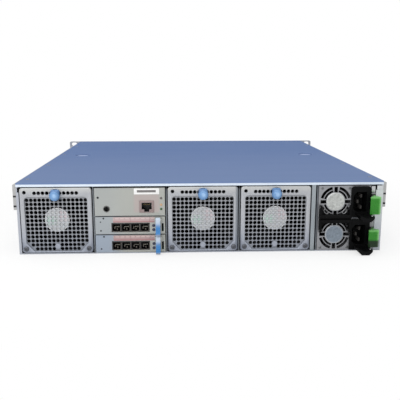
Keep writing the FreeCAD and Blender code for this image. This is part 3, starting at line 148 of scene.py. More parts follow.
class Paint:
    """A material on one Principled shader, with Object coordinates in millimetres."""

    def __init__(self, name, **constants):
        self.material = bpy.data.materials.new(name)
        self.material.use_nodes = True
        self.tree = self.material.node_tree
        self.shader = self.tree.nodes["Principled BSDF"]
        for key, value in constants.items():
            self.shader.inputs[key.replace("_", " ")].default_value = value
        self.coat = None
        self.place = self.node("ShaderNodeTexCoord", {}, {}, "Object")
        axes = self.node("ShaderNodeSeparateXYZ", {}, {0: self.place}, None)
        self.x, self.y, self.z = (Wire(self, out) * (1 / MM) for out in axes.outputs)

    def node(self, kind, settings, values, output=0):
        """Adds any node: its settings, then its sockets' values or links. Output None gives the node."""
        made = self.tree.nodes.new(kind)
        for key, value in settings.items():
            setattr(made, key, value)
        for key, value in values.items():
            socket = made.inputs[key]
            if isinstance(value, Wire):
                self.tree.links.new(value.socket, socket)
            else:
                socket.default_value = value
        return made if output is None else Wire(self, made.outputs[output])

    def feed(self, name, wire):
        self.tree.links.new(wire.socket, self.shader.inputs[name])
        return self

    def mix(self, factor, first, second):
        """A colour between two others; a plain colour is three numbers."""
        def whole(colour):
            return colour if isinstance(colour, Wire) else (*colour, 1)
        values = {0: factor, 6: whole(first), 7: whole(second)}
        return self.node("ShaderNodeMix", {"data_type": "RGBA"}, values, 2)

    def noise(self, per_mm, detail=3, rough=0.5, scale=(1, 1, 1)):
        """Cloudy values from 0 to 1, about per_mm bumps in a millimetre; a low scale draws them out."""
        place = self.node("ShaderNodeMapping", {}, {"Vector": self.place, "Scale": scale})
        values = {"Vector": place, "Scale": per_mm / MM, "Detail": detail, "Roughness": rough}
        return self.node("ShaderNodeTexNoise", {}, values)

    def flakes(self, per_mm):
        """One random grey for each cell, with about per_mm cells in a millimetre."""
        cells = self.node("ShaderNodeTexVoronoi", {}, {"Vector": self.place, "Scale": per_mm / MM}, "Color")
        return self.node("ShaderNodeSeparateColor", {}, {0: cells})

    def radius(self, ca, cb, *axes):
        """Distance from a line through (ca, cb), in the plane of x and z or of two given values."""
        a, b = axes or (self.x, self.z)
        return ((a - ca) ** 2 + (b - cb) ** 2) ** 0.5

    def spot(self, ca, cb, radius, soft=0.25, *axes):
        """1 inside a circle, with a soft edge."""
        return self.radius(ca, cb, *axes).fall(radius - soft, radius + soft)

    def tint(self, first, *marks):
        """Base colour: a first colour, with pairs of a mask and a colour over it."""
        self.coat = first
        return self.over(*marks)

    def over(self, *marks):
        """Lays more pairs of a mask and a colour over the base colour."""
        for mask, colour in marks:
            self.coat = self.mix(mask, self.coat, colour)
        return self.feed("Base Color", self.coat)

    def vary(self, tone, colour, dark, light):
        """Base colour that goes with a tone from a darker to a lighter form of one colour."""
        ends = (tuple(min(1, c * factor) for c in colour) for factor in (dark, light))
        return self.tint(self.mix(tone, *ends))

    def bump(self, height, strength, distance_mm):
        values = {"Height": height, "Strength": strength, "Distance": distance_mm * MM}
        return self.feed("Normal", self.node("ShaderNodeBump", {}, values))


# ==== Finishes ====
def plated_steel(name, colour, metallic=0.75, rough=0.36, streak=(0.08, 1, 1)):
    """Zinc-plated sheet: faint spangle, rolled streaks and smudges over one grey."""
    p = Paint(name, Metallic=metallic)
    grey = p.flakes(0.09)
    lines = p.noise(1.6, 2, 0.6, streak)
    smudge = p.noise(0.02, 4, 0.6)
    p.vary(grey * 0.1 + lines * 0.1 + smudge * 0.22 + 0.29, colour, 0.8, 1.2)
    p.feed("Roughness", smudge * 0.22 + lines * 0.1 + (rough - 0.14))
    return p.bump(lines * 0.6 + grey * 0.4, 0.12, 0.03)


def chassis_steel():
    """Tray sheet: grey outside, with painted shade between the modules and a painted highlight that grows
    upward on the outer flange of the right wall.
    """
    low, high, _ = reach("chassis_base")
    card_low, card_high, _ = reach("controller_tray")
    post = reach("fan_right_housing")[1][0]
    p = plated_steel("tray_steel_base", (0.4, 0.42, 0.47), 0.5, 0.38)
    near = p.y < low[1] + 30
    shaded_bay = near * (p.x > low[0] + 3.2)
    raised = p.z > 1.3
    beside_post = 1 - p.x.within(post + 1, post + 4.6)
    shaded_under_card = p.x.within(card_low[0] + 0.5, card_high[0] - 0.5) * (p.y < low[1] + 6)
    flange = (p.x > high[0] - 9.2) * (p.y < low[1] + 12)
    # Painted shade near the rear face: dark in the bay between the modules, darkest under the cover at its
    # top, milder on the post and at the gap left of the controller, dark under the controller; then a painted
    # highlight on the right wall's flange, paler higher up.
    return p.over(
        (shaded_bay * (p.x < high[0] - 9) * raised * beside_post, (0.19, 0.21, 0.235)),
        (shaded_bay * (p.x < post) * p.z.rise(76, 80), (0.02, 0.022, 0.026)),
        (near * p.x.within(post + 1, post + 6.5), (0.3, 0.335, 0.36)),
        (shaded_under_card * raised, (0.03, 0.035, 0.05)),
        (near * (abs(p.x - card_low[0] + 1.6) < 1) * 0.8, (0.24, 0.26, 0.28)),
        (flange * p.z.rise(20, 60), (0.56, 0.6, 0.6)))


def rail_steel():
    """Rail end plate: plated sheet with two near-black spots near the module side, painted shade that stands
    for two punched holes.
    """
    p = plated_steel("rail_steel", (0.4, 0.4, 0.4), 0.35, 0.42, (1, 0.05, 1))
    end = p.y < reach("slide_rails")[0][1] + 2.5
    # Painted shade: a near-black spot at each hole.
    return p.over(*(((abs(p.z - z) < 1.1) * end, (0.01, 0.01, 0.012)) for z in (58.5, 70.5)))


def cover_coat():
    """Satin blue-grey coat: fine orange peel, dust, wiping marks, screw heads, a bare rear lip, a painted
    reflection that brightens it towards the rear, and painted light in the finger recess.
    """
    low, high, _ = reach("top_cover")
    p = Paint("cover_coat", Specular_IOR_Level=0.04)
    cloud = p.noise(0.006, 4, 0.55)
    wipe = p.noise(0.05, 3, 0.5, (0.15, 1, 1))
    lip = p.z.fall(high[2] - 1.9, high[2] - 1.2) * (p.y < low[1] + 1.2)
    side = abs(p.x)
    along = (p.y - (low[1] + 30)).math("PINGPONG", 60)
    r = p.radius(high[0] - 7, 0, side, along)
    screw = r.fall(2.4, 2.8)
    slot = screw * r.fall(1, 1.2)
    # Paler inside the finger recess: painted light that lifts the shade in it.
    recess_light = p.spot(high[0] - RECESS_EDGE, low[1] + RECESS_SETBACK, 10.8, 0.4, side, p.y)
    # Painted reflection: a brighter blue towards the rear end.
    near = p.y.fall(low[1], low[1] + 420)
    tone = p.mix(cloud * 0.85 + wipe * 0.15, (0.092, 0.158, 0.335), (0.122, 0.19, 0.37))
    p.tint(tone, (near * 0.9, (0.145, 0.207, 0.365)), (recess_light * 0.9, (0.4, 0.48, 0.68)),
           (r.within(2.7, 3.5) * 0.6, (0.03, 0.045, 0.09)), (screw, (0.3, 0.32, 0.35)),
           (slot, (0.01, 0.01, 0.01)), (lip, (0.66, 0.73, 0.82)))
    p.feed("Roughness", wipe * 0.1 + 0.56)
    p.feed("Metallic", screw + lip * 0.5)
    return p.bump(p.noise(0.9, 2) * 0.2 + screw, 0.12, 0.05)


def silver_paint(which):
    """Silver paint of a fan face: fine flake, a painted highlight on the upper rim, painted bluish shade
    towards the foot, painted shade in the sunk grille, along the lower side edges and in the lower corners,
    and painted light over the hub.
    """
    low, high, mid = reach(f"fan_{which}_housing")
    cx = mid[0]
    p = Paint("silver_" + which, Metallic=0.3)
    grain = p.flakes(2.2)
    cloud = p.noise(0.035, 4, 0.6)
    # Painted bluish shade towards the foot.
    foot = p.z.fall(2, 50)
    # Painted highlight along the upper rim.
    crown_highlight = p.z.rise(high[2] - 9, high[2] - 1.5)
    # Painted shade along the side edges, lower down.
    edge = abs(p.x - cx).rise(38.5, 42) * p.z.fall(8, 30)
    # Painted light on the face over the hub label.
    hub = p.radius(cx, FAN_MIDDLE_Z).fall(14.5, 16)
    sunk = p.y > low[1] + 1.2
    # Painted shade on the floor of the sunk grille, but not over the hub.
    grille = sunk * (p.y < low[1] + POCKET_DEPTH + 0.2) * (1 - hub)
    # Painted shade in the lower corners.
    corner = abs(p.x - cx).rise(27, 38) * p.z.fall(low[2] + 6, low[2] + 15)
    shaded_side = p.x.rise(cx + 38, cx + 41) * (0.85 if which == "centre" else 0)
    p.tint(p.mix(grain * 0.22 + cloud * 0.6 + 0.08, (0.32, 0.33, 0.355), (0.49, 0.505, 0.53)),
           (foot * 0.55, (0.245, 0.285, 0.375)), (crown_highlight * 0.35, (0.6, 0.6, 0.55)),
           (grille * 0.6, (0.19, 0.2, 0.22)), (hub * sunk * 0.35, (0.52, 0.54, 0.56)),
           (shaded_side, (0.14, 0.16, 0.185)), (edge * 0.5, (0.13, 0.15, 0.2)),
           (corner * 0.45, (0.15, 0.165, 0.21)))
    p.feed("Roughness", cloud * 0.2 + 0.36)
    return p.bump(grain, 0.08, 0.02)


def plastic(name, colour, rough=0.42, vary=0.18, **more):
    """Moulded plastic: spark-eroded grain, soft variation of tone and rubbed patches."""
    p = Paint(name, **more)
    cloud = p.noise(0.06, 4, 0.6)
    fine = p.noise(1.2, 2, 0.5)
    p.vary(cloud * 0.8 + fine * 0.2, colour, 1 - vary, 1 + vary)
    p.feed("Roughness", cloud * 0.16 + (rough - 0.08))
    return p.bump(fine, 0.12, 0.03)


def black_moulding(name, rough=0.6):
    return plastic(name, (0.0026, 0.0027, 0.003), rough, 0.3, Specular_IOR_Level=0.08)


def panel_steel(part, left_shade, holes, blush=None):
    """Painted module panel: warm grey coat, a blush round its printed field, painted bluish shade towards its
    left end, and punched holes painted near black as their shade.
    """
    low = reach(part + "_tray")[0]
    p = Paint(part + "_panel", Metallic=0.15, Specular_IOR_Level=0.35)
    cloud = p.noise(0.03, 4, 0.6)
    fine = p.noise(1.4, 2)
    p.vary(cloud * 0.8 + fine * 0.2, (0.375, 0.385, 0.36), 0.88, 1.1)
    if blush:
        x0, x1, z0, z1, colour = blush
        field = (p.x.rise(x0 - 2, x0 + 2) * p.x.fall(x1 - 2, x1 + 2)
                 * p.z.rise(z0 - 2, z0 + 2) * p.z.fall(z1 - 2, z1 + 2))
        p.over((field * 0.7, colour))
    # Painted bluish shade towards the left end, as strong as the given factor.
    p.over((p.x.fall(low[0] + 14, low[0] + 40) * left_shade, (0.27, 0.33, 0.43)))
    depth = 0
    # Painted shade: each hole is a near-black spot, with a sunk bump.
    for x, z, r in holes:
        mask = p.spot(x, z, r, 0.2) * (p.y < REAR_FACE + 1.5)
        p.over((mask, (0.012, 0.013, 0.016)))
        depth = mask + depth
    p.feed("Roughness", cloud * 0.16 + 0.4)
    return p.bump(fine * 0.15 - depth, 0.2, 0.1)


def circuit_board(name):
    """Green solder mask with copper tracks below it."""
    p = Paint(name)
    tracks = p.node("ShaderNodeTexBrick", {"offset": 0.5},
                    {"Vector": p.place, "Scale": 320, "Mortar Size": 0.03}, "Fac")
    cloud = p.noise(0.08, 3)
    green = p.mix(cloud, (0.012, 0.07, 0.032), (0.02, 0.11, 0.05))
    p.tint(p.mix(tracks * 0.5, green, (0.05, 0.17, 0.06)))
    p.feed("Roughness", cloud * 0.2 + 0.28)
    return p.bump(tracks, 0.15, 0.03)


def heat_sink(p, low):
    """Pale metal over the inner part of a board, above its sheet."""
    return (p.y > low[1] + 60) * (p.z > low[2] + 1.8), (0.5, 0.51, 0.52)


def controller_parts():
    """Board with its grey jack shell, dark sockets and pale heat sink."""
    low, _, mid = reach("controller_board")
    x = mid[0]
    foot = CONTROLLER_FOOT
    jack_x, jack_z = x + JACK_X, foot + JACK_Z
    p = circuit_board("controller_board")
    shell = (p.y < low[1] + 24) * (p.z > low[2] + 1.8)
    cavity = p.x.within(jack_x - 6.3, jack_x + 6.3) * p.z.within(jack_z - 6.8, jack_z + 5.2)
    socket = p.spot(x + SERIAL_X, foot + SERIAL_Z, 4.4) * (p.y < low[1] + 14)
    return p.over((shell, (0.33, 0.33, 0.33)),
                  (cavity * shell * (p.y > low[1] + 0.05), (0.004, 0.004, 0.005)),
                  (socket, (0.008, 0.009, 0.011)), heat_sink(p, low))


def card_parts(which):
    """Board with its black port cage, bright tongues and pale heat sink."""
    low = reach(f"card_{which}_ports")[0]
    p = circuit_board(f"card_{which}_board")
    tongues = p.y.within(low[1] + 8, low[1] + 9.5) * p.z.within(low[2] + 3.6, low[2] + 8.6)
    return p.over(((p.y < low[1] + 34) * (p.z > low[2] + 1.65), (0.004, 0.004, 0.0048)),
                  (tongues, (0.3, 0.29, 0.24)), heat_sink(p, low))


def inlet_plastic(which):
    """Black bezel and socket with three bright blades."""
    low, _, mid = reach(f"psu_{which}_case")
    x, z = mid[0] + SOCKET_X, mid[2]
    p = black_moulding(f"psu_{which}_inlet", 0.45)
    deep = p.y.within(low[1] - 0.8, low[1] + SOCKET_END + 1.9)
    for dx, dz in PIN_PLACES:
        p.over(((abs(p.x - (x + dx)) < 1.05) * (abs(p.z - (z + dz)) < 2.05) * deep, (0.045, 0.042, 0.04)))
    return p


def guard_steel(which):
    """Bright case with painted shade: near black in its fan chamber, in the pattern of the guard's two rings
    of arcs and four bars, and in a strip inside its outer side.
    """
    x, z = guard_middle(which)
    side = reach(f"psu_{which}_case")[1][0]
    face = REAR_FACE + 0.9
    p = plated_steel(f"psu_{which}_case", (0.27, 0.275, 0.29), 0.5, 0.42, (1, 0.06, 1))
    r = p.radius(x, z)
    least = abs(p.x - x).math("MINIMUM", abs(p.z - z))
    arcs = (r.within(15.5, 18.9) + r.within(12, 14.5)) * (least > r * 0.25)
    bars = r.within(11.2, 18.4) * (least < 2.1)
    # Painted shade: near black in the guard's pattern on the face, inside the fan chamber behind it, and in a
    # strip inside the outer side.
    return p.over(
        ((arcs + bars) * (p.y < face), (0.005, 0.005, 0.006)),
        (p.spot(x, z, 18.95, 0.02) * (p.y > face), (0.006, 0.006, 0.007)),
        (p.y.within(face, face + 34) * p.x.within(side - 6, side - 0.2), (0.02, 0.02, 0.022)))


def lever_plastic(which):
    """Blue lever with a painted highlight that makes it pale at the shoulder, deeper blue towards its tip,
    and rubbed grey at the end.
    """
    low, high, _ = reach(f"card_{which}_lever")
    tall = high[2] - low[2]
    p = plastic(f"card_{which}_lever", (0.04, 0.195, 0.47), 0.4, 0.12, Specular_IOR_Level=0.3)
    # Painted highlight on the upper part; grey towards the lower end.
    return p.over((p.z.rise(low[2] + tall * 0.38, low[2] + tall * 0.8) * 0.95, (0.54, 0.62, 0.72)),
                  (p.z.fall(low[2] + 0.5, low[2] + 3.2) * 0.8, (0.36, 0.38, 0.43)))


def grip_plastic(which):
    """Green grip: painted highlights make it paler on its outer edge and top; grey inside; the lower one is
    dark at its foot.
    """
    low, high, _ = reach(f"psu_{which}_latch")
    p = plastic(f"psu_{which}_grip", (0.026, 0.205, 0.017), 0.38, 0.12, Specular_IOR_Level=0.3)
    top = p.z.rise(high[2] - 3, high[2] - 0.4) * (p.y < low[1] + 16)
    edge = p.x.rise(high[0] - 4.2, high[0] - 1.2)
    # Painted highlights on the outer edge and the top.
    p.over((edge * 0.75, (0.19, 0.52, 0.15)), (top * 0.6, (0.22, 0.56, 0.18)))
    if which == "lower":
        p.over((p.z.fall(low[2] + 7, low[2] + 10) * 0.92, (0.004, 0.006, 0.004)))
    return p.over((p.y > low[1] + 14.5, (0.42, 0.43, 0.44)))


def lamp_lens(name, colour, glow=0):
    """Clear lens over a lamp: deeper tint in the middle, faint glow."""
    p = Paint(name, Roughness=0.18, Coat_Weight=0.4, Emission_Strength=glow)
    fine = p.noise(0.9, 2)
    p.vary(fine, colour, 0.75, 1)
    p.feed("Emission Color", p.coat)
    return p.bump(fine, 0.05, 0.02)


def paper(name, colour):
    """Matt printed label: fibres and faint dirt."""
    p = Paint(name, Roughness=0.55, Specular_IOR_Level=0.3)
    fibre = p.noise(0.8, 3, 0.6)
    p.vary(fibre * 0.4 + p.noise(0.12, 4, 0.6) * 0.6, colour, 0.88, 1)
    return p.bump(fibre, 0.05, 0.02)


def paint_node(node, paint):
    """Gives a carried-over part its finish."""
    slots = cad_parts[node].data.materials
    if len(slots) == 0:
        slots.append(paint.material)
    for i in range(len(slots)):
        slots[i] = paint.material


# ==== Meshes ====
SIDES = {"rear": ((1, 0, 0), (0, 0, 1), (0, -1, 0)), "front": ((-1, 0, 0), (0, 0, 1), (0, 1, 0)),
         "left": ((0, -1, 0), (0, 0, 1), (-1, 0, 0)), "right": ((0, 1, 0), (0, 0, 1), (1, 0, 0))}


def aim(points, centre, side="rear"):
    """Turns (u, v, out) into the frame: v is up, and out points away from the named side."""
    return centre + points @ np.array(SIDES[side])


def grid_faces(rows, columns, close_u=False):
    """Quads of a rows by columns grid whose columns join round, and its rows too when close_u is set."""
    i = np.arange(rows if close_u else rows - 1)[:, None]
    j = np.arange(columns)[None, :]
    a = i * columns + j
    b = i * columns + (j + 1) % columns
    c = ((i + 1) % rows) * columns + (j + 1) % columns
    d = ((i + 1) % rows) * columns + j
    return np.stack([a, b, c, d], -1).reshape(-1, 4)


def spread(*axes):
    """Points from arrays or numbers, one for each axis, stretched to one shape."""
    return np.stack(np.broadcast_arrays(*axes), -1)


def lathe(profile, turns=32):
    """Surface of revolution: (r, out) carried round, u = r cos t and v = r sin t."""
    r, out = (a[:, None] for a in np.array(profile, float).T)
    t = np.arange(turns) * (2 * math.pi / turns)
    return spread(r * np.cos(t), r * np.sin(t), out)


def plaque(width, height, corner, profile, steps=8):
    """Rounded rectangle whose outline shrinks by the profile's inset while it rises by its second value."""
    inset, out = (a[:, None] for a in np.array(profile, float).T)
    angle = np.linspace(0, math.pi / 2, steps)
    t = (np.arange(4)[:, None] * (math.pi / 2) + angle).ravel()
    side_u = np.repeat([1, -1, -1, 1], steps)
    side_v = np.repeat([1, 1, -1, -1], steps)
    r = np.maximum(corner - inset, 0)
    u = side_u * np.maximum(width / 2 - inset - r, 0) + r * np.cos(t)
    v = side_v * np.maximum(height / 2 - inset - r, 0) + r * np.sin(t)
    return spread(u, v, out)


def slab(width, height, thick, corner, edge=0.25, back=0, steps=5):
    """Closed rounded plate: its outline rises straight from back, then leans in by edge at the front."""
    top = back + thick
    profile = [(99, back), (0, back), (0, top - edge), (edge * 0.3, top - edge * 0.3), (edge, top), (99, top)]
    return plaque(width, height, corner, profile, steps)


def ribbon(path, across, width, thick):
    """Bar with a rounded rectangular section swept along a path; across is its fixed sideways direction."""
    along = np.gradient(path, axis=0)
    along /= np.linalg.norm(along, axis=1)[:, None]
    up = np.cross(along, across)
    section = plaque(1, 1, 0.35, [(0, 0)], 5)[0]
    u = section[None, :, 0, None] * width * across
    v = section[None, :, 1, None] * thick * up[:, None, :]
    body = path[:, None, :] + u + v
    middles = np.broadcast_to(body.mean(1, keepdims=True), body.shape)
    return np.concatenate([middles[:1], body, middles[-1:]])


def wire_ring(path, radius, sides=8):
    """Round wire along a closed path that lies in an upright plane across the Y axis."""
    along = np.roll(path, -1, 0) - np.roll(path, 1, 0)
    along /= np.linalg.norm(along, axis=1)[:, None]
    out = np.array([0, 1, 0])
    side = np.cross(along, out)
    t = np.arange(sides) * (2 * math.pi / sides)
    ring = np.cos(t)[:, None] * side[:, None, :] + np.sin(t)[:, None] * out
    return path[:, None, :] + radius * ring


def hole_loop(x, z):
    """Outline of a round grille hole."""
    t = np.arange(HOLE_SIDES) * (2 * math.pi / HOLE_SIDES)
    return spread(x + GRILLE_HOLE_R * np.cos(t), z + GRILLE_HOLE_R * np.sin(t))


def inside(points, loops):
    """True where a point lies inside an odd number of loops: it counts the edges that a ray to +X crosses."""
    start = np.concatenate(loops)
    end = np.concatenate([np.roll(loop, -1, 0) for loop in loops])
    px, pz = points[:, 0, None], points[:, 1, None]
    spans = (start[:, 1] > pz) != (end[:, 1] > pz)
    rise = np.where(end[:, 1] == start[:, 1], 1, end[:, 1] - start[:, 1])
    cross = start[:, 0] + (pz - start[:, 1]) * (end[:, 0] - start[:, 0]) / rise
    return (spans & (px < cross)).sum(1) % 2 == 1


def flat_sheet(loops, y):
    """Flat sheet at one y between an outline and its holes: Delaunay triangles whose middles are inside."""
    edges = []
    for loop in loops:
        i = np.arange(len(loop))
        edges.extend((np.stack([i, np.roll(i, -1)], -1) + len(edges)).tolist())
    found = delaunay_2d_cdt(list(map(Vector, np.concatenate(loops))), edges, [], 0, 1e-5)
    flat = np.array([tuple(v) for v in found[0]])
    triangles = np.array(found[2])
    triangles = triangles[inside(flat[triangles].mean(1), loops)]
    return spread(flat[:, 0], y, flat[:, 1]), triangles


def loop_wall(loop, steps):
    """Wall along a loop: each step is (outward offset, y)."""
    ahead = np.roll(loop, -1, 0) - np.roll(loop, 1, 0)
    normal = np.stack([ahead[:, 1], -ahead[:, 0]], -1) / np.linalg.norm(ahead, axis=1)[:, None]
    offset, y = (a[:, None] for a in np.array(steps, float).T)
    return spread(loop[:, 0] + offset * normal[:, 0], y, loop[:, 1] + offset * normal[:, 1])


def loop_stack(steps):
    """Wall through loops of equal length: each step is (loop, y)."""
    return np.stack([spread(loop[:, 0], y, loop[:, 1]) for loop, y in steps])


def hole_walls(centres, y0, y1):
    """Tubes of grille holes as one pair of arrays: every centre plus one circle, at both depths."""
    loops = centres[:, None, :] + hole_loop(0, 0)
    points = np.stack([spread(loops[..., 0], y, loops[..., 1]) for y in (y0, y1)], 1)
    faces = grid_faces(2, HOLE_SIDES) + (np.arange(len(centres)) * 2 * HOLE_SIDES)[:, None, None]
    return points.reshape(-1, 3), faces.reshape(-1, 4)


def place_object(name, data):
    """A new object in the scene."""
    made = bpy.data.objects.new(name, data)
    bpy.context.scene.collection.objects.link(made)
    return made


class Piece:
    """Gathers surfaces, in millimetres, into one mesh that rides on a body."""

    def __init__(self):
        self.points = []
        self.faces = []
        self.count = 0

    def add(self, points, faces):
        self.points.append(np.asarray(points, float).reshape(-1, 3))
        self.faces.extend((np.asarray(faces) + self.count).tolist())
        self.count += len(self.points[-1])
        return self

    def grid(self, points, close_u=False):
        return self.add(points, grid_faces(*points.shape[:2], close_u))

    def make(self, name, paint, body, replaces=None):
        """Makes the mesh object; where it stands in for a node, it also hides that node."""
        mesh = bpy.data.meshes.new(name)
        mesh.from_pydata((np.concatenate(self.points) * MM).tolist(), [], self.faces)
        work = bmesh.new()
        work.from_mesh(mesh)
        bmesh.ops.remove_doubles(work, verts=work.verts, dist=0.004 * MM)
        bmesh.ops.dissolve_degenerate(work, edges=work.edges, dist=0.001 * MM)
        bmesh.ops.recalc_face_normals(work, faces=work.faces)
        work.to_mesh(mesh)
        work.free()
        mesh.shade_smooth()
        mesh.set_sharp_from_angle(angle=math.radians(SHARP_DEG))
        piece = place_object(name, mesh)
        mesh.materials.append(paint.material)
        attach(piece, body)
        if replaces:
            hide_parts(replaces)


def copies(name, paint, body, shape, **places):
    """One piece of equal surfaces: for each named side, the shape at every place given there."""
    piece = Piece()
    for side, centres in places.items():
        for centre in centres:
            piece.grid(aim(shape, centre, side))
    piece.make(name, paint, body)


def reach(node):
    """Lowest corner, highest corner and middle of a part, in millimetres."""
    low, high = (np.array(corner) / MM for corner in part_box(node))
    return low, high, (low + high) / 2


# ==== Fan modules ====
def grille_centres(cx, foot):
    """Middles of the grille's holes; the two shorter rows at the foot have no middle hole."""
    rows = []
    for row, columns in enumerate(GRILLE_ROWS):
        offset = (np.arange(columns) - (columns - 1) / 2) * GRILLE_PITCH
        if columns < GRILLE_ROWS[0]:
            offset = offset[np.abs(offset) > GRILLE_PITCH / 2]
        rows.append(spread(cx + offset, foot + 64.5 - row * GRILLE_ROW))
    return np.concatenate(rows)


def pocket_loop(cx, foot, grow=0):
    """Outline of the sunk grille: round upper corners, cut-off lower corners."""
    half = POCKET_HALF + grow
    top = foot + 68.5 + grow
    low = foot + 2.1 - grow
    r = 4 + grow
    t = np.linspace(0, math.pi / 2, 8)
    right = spread(cx + half - r + r * np.cos(t), top - r + r * np.sin(t))
    left = spread(cx - half + r - r * np.sin(t), top - r + r * np.cos(t))
    cut = [(cx - half, low + 10.5), (cx - half + 9, low), (cx + half - 9, low), (cx + half, low + 10.5)]
    return np.concatenate([right, left, cut])


def slab_loop(cx, cz, width, height, corner, steps=8):
    """Rounded rectangle as a loop of (x, z) points."""
    ring = plaque(width, height, corner, [(0, 0)], steps)[0]
    return ring[:, :2] + np.array([cx, cz])


def fan_face(which, paint):
    """Pressed face: eased rim, sunk grille of round holes, boss at the foot."""
    low, high, mid = reach(f"fan_{which}_housing")
    cx = mid[0]
    foot = low[2]
    y = REAR_FACE
    back = y + RIM_T
    width, height = high[0] - low[0], high[2] - foot
    ease = 1.3
    outer = slab_loop(cx, foot + height / 2, width - 2 * ease, height - 2 * ease, 2.4)
    top_row = (np.arange(11) - 5) * GRILLE_PITCH
    top_row = top_row[np.abs(top_row) > GRILLE_PITCH / 2]
    rim_holes = np.concatenate([spread(cx + top_row, foot + 73.5), [[cx - 36.5, foot + 74.3]]])
    slot = slab_loop(cx, foot + 74.7, 5.2, 7.2, 0.8, 4)
    openings = [slot] + [hole_loop(x, z) for x, z in rim_holes]
    piece = Piece()
    piece.add(*flat_sheet([outer, pocket_loop(cx, foot, 0.6)] + openings, y))
    t = np.linspace(0, math.pi / 2, 6)
    rim = [(ease * math.sin(a), y + ease * (1 - math.cos(a))) for a in t] + [(ease, back)]
    piece.grid(loop_wall(outer, rim))
    eased = ((0.6, 0), (0.34, 0.12), (0.15, 0.4), (0.04, 0.9), (0, POCKET_DEPTH))
    piece.grid(loop_stack([(pocket_loop(cx, foot, grow), y + depth) for grow, depth in eased]))
    piece.grid(loop_wall(slot, [(0, y), (0, back)]))
    piece.add(*hole_walls(rim_holes, y, back))
    holes = grille_centres(cx, foot)
    pocket = pocket_loop(cx, foot)
    floor_loops = [pocket] + [hole_loop(x, z) for x, z in holes]
    for depth in (y + POCKET_DEPTH, back):
        piece.add(*flat_sheet(floor_loops, depth))
    piece.add(*hole_walls(holes, y + POCKET_DEPTH, back))
    back_outer = slab_loop(cx, foot + height / 2, width, height, 2.4 + ease)
    piece.add(*flat_sheet([back_outer, pocket] + openings, back))
    boss = lathe([(0, -0.3), (3.4, -0.3), (3.4, 1.5), (3, 1.9), (0, 1.9)], 28)
    piece.grid(aim(boss, (cx, y + POCKET_DEPTH, foot + 8)))
    piece.make(f"fan_{which}_face", paint, "fan_" + which, f"fan_{which}_housing")


def fan_screws(which, paint):
    """Two pan-head screws in the lower corners of the face, and their driver recesses."""
    low, high, _ = reach(f"fan_{which}_housing")
    head = lathe([(0, 0.5), (0.9, 0.5), (1.2, 1.1), (2, 1.1), (2.7, 0.8), (3.1, 0.2), (3.1, -0.2),
                  (0, -0.2)], 24)
    copies(f"fan_{which}_screws", paint, "fan_" + which, head,
           rear=[(x, REAR_FACE, low[2] + 5.2) for x in (low[0] + 4.9, high[0] - 4.9)])


def hub_label(which):
    """Round paper label on the motor, with pale colour patches and a printed ring."""
    low, _, mid = reach(f"fan_{which}_frame")
    cx = mid[0]
    cz = FAN_MIDDLE_Z
    p = Paint("hub_label_" + which, Roughness=0.45, Specular_IOR_Level=0.3)
    r = p.radius(cx, cz)
    left = p.x.fall(cx - 3, cx + 1) * abs(p.z - cz + 1).fall(3.5, 6)
    upper = p.x.rise(cx, cx + 4) * p.z.rise(cz - 6, cz + 4)
    bars = ((p.z - cz).math("PINGPONG", 2.6) < 0.6) * (abs(p.x - cx) < 9)
    p.tint(p.mix(p.noise(0.16, 3, 0.6), (0.45, 0.465, 0.47), (0.69, 0.7, 0.71)),
           (left * 0.42, (0.42, 0.72, 0.58)), (upper * 0.3, (0.8, 0.56, 0.62)),
           (bars * 0.3, (0.25, 0.25, 0.28)), (r.within(12.6, 13.3) * 0.35, (0.35, 0.37, 0.38)),
           (r.rise(13.3, 14) * 0.6, (0.82, 0.83, 0.84)))
    p.bump(p.noise(0.5), 0.1, 0.03)
    rim = HUB_LABEL_R
    disc = lathe([(0, -0.2), (rim - 0.1, -0.2), (rim, 0.1), (rim - 0.2, 0.3), (0, 0.3)], 48)
    copies(f"fan_{which}_hub_label", p, "fan_" + which, disc, rear=[(cx, low[1] + 0.5, cz)])


def knob(which):
    """Touch latch: a ball on a stem before the face, a neck through its slot and a plate behind."""
    node = f"fan_{which}_latch"
    low, high, mid = reach(node)
    cx = mid[0]
    cz = low[2] + 6.8
    y = REAR_FACE
    p = plastic("touch_blue_" + which, (0.135, 0.285, 0.53), 0.36, 0.12, Coat_Weight=0.2)
    deep = (0.06, 0.15, 0.345)
    # Painted light and shade on the latch: a darker rim round the ball, a painted highlight near its middle,
    # painted shade on the sides above it, and near black on everything behind the face, where it lies in
    # shade.
    p.over((p.radius(cx, cz).rise(4.4, 6.2) * 0.55, deep),
           (p.spot(cx + 0.6, cz + 0.4, 2.2, 1.6) * (p.y < y - 5) * 0.6, (0.4, 0.6, 0.86)),
           (abs(p.x - cx - 0.4).rise(3.4, 5) * p.z.rise(cz + 2, cz + 3.5) * 0.6, deep),
           ((p.y > y + 2) * 0.95, (0.006, 0.008, 0.012)))
    t = np.linspace(-1.15, 1.48, 20)
    ball = spread(6.2 * np.cos(t), 4.9 + 5 * np.sin(t))
    piece = Piece()
    piece.grid(aim(lathe([(0, 0.35), *ball, (0, 9.9)], 40), (cx, y, cz)))
    neck = plaque(4.4, 3.4, 0.8, [(99, -4.5), (0, -4.5), (0, 0.6), (99, 0.6)])
    piece.grid(aim(neck, (cx, y, high[2] - 1.9)))
    stem = plaque(10.6, 6, 2.4, [(99, 0.35), (0, 0.35), (0, 2.4), (0.5, 3.2), (1.2, 3.6), (99, 3.6)])
    piece.grid(aim(stem, (cx, y, high[2] - 3)))
    plate = plaque(16, high[2] - low[2], 1, [(99, -5.7), (0, -5.7), (0, -4.3), (99, -4.3)])
    piece.grid(aim(plate, (cx, y, mid[2])))
    piece.make(f"fan_{which}_knob", p, node, node)


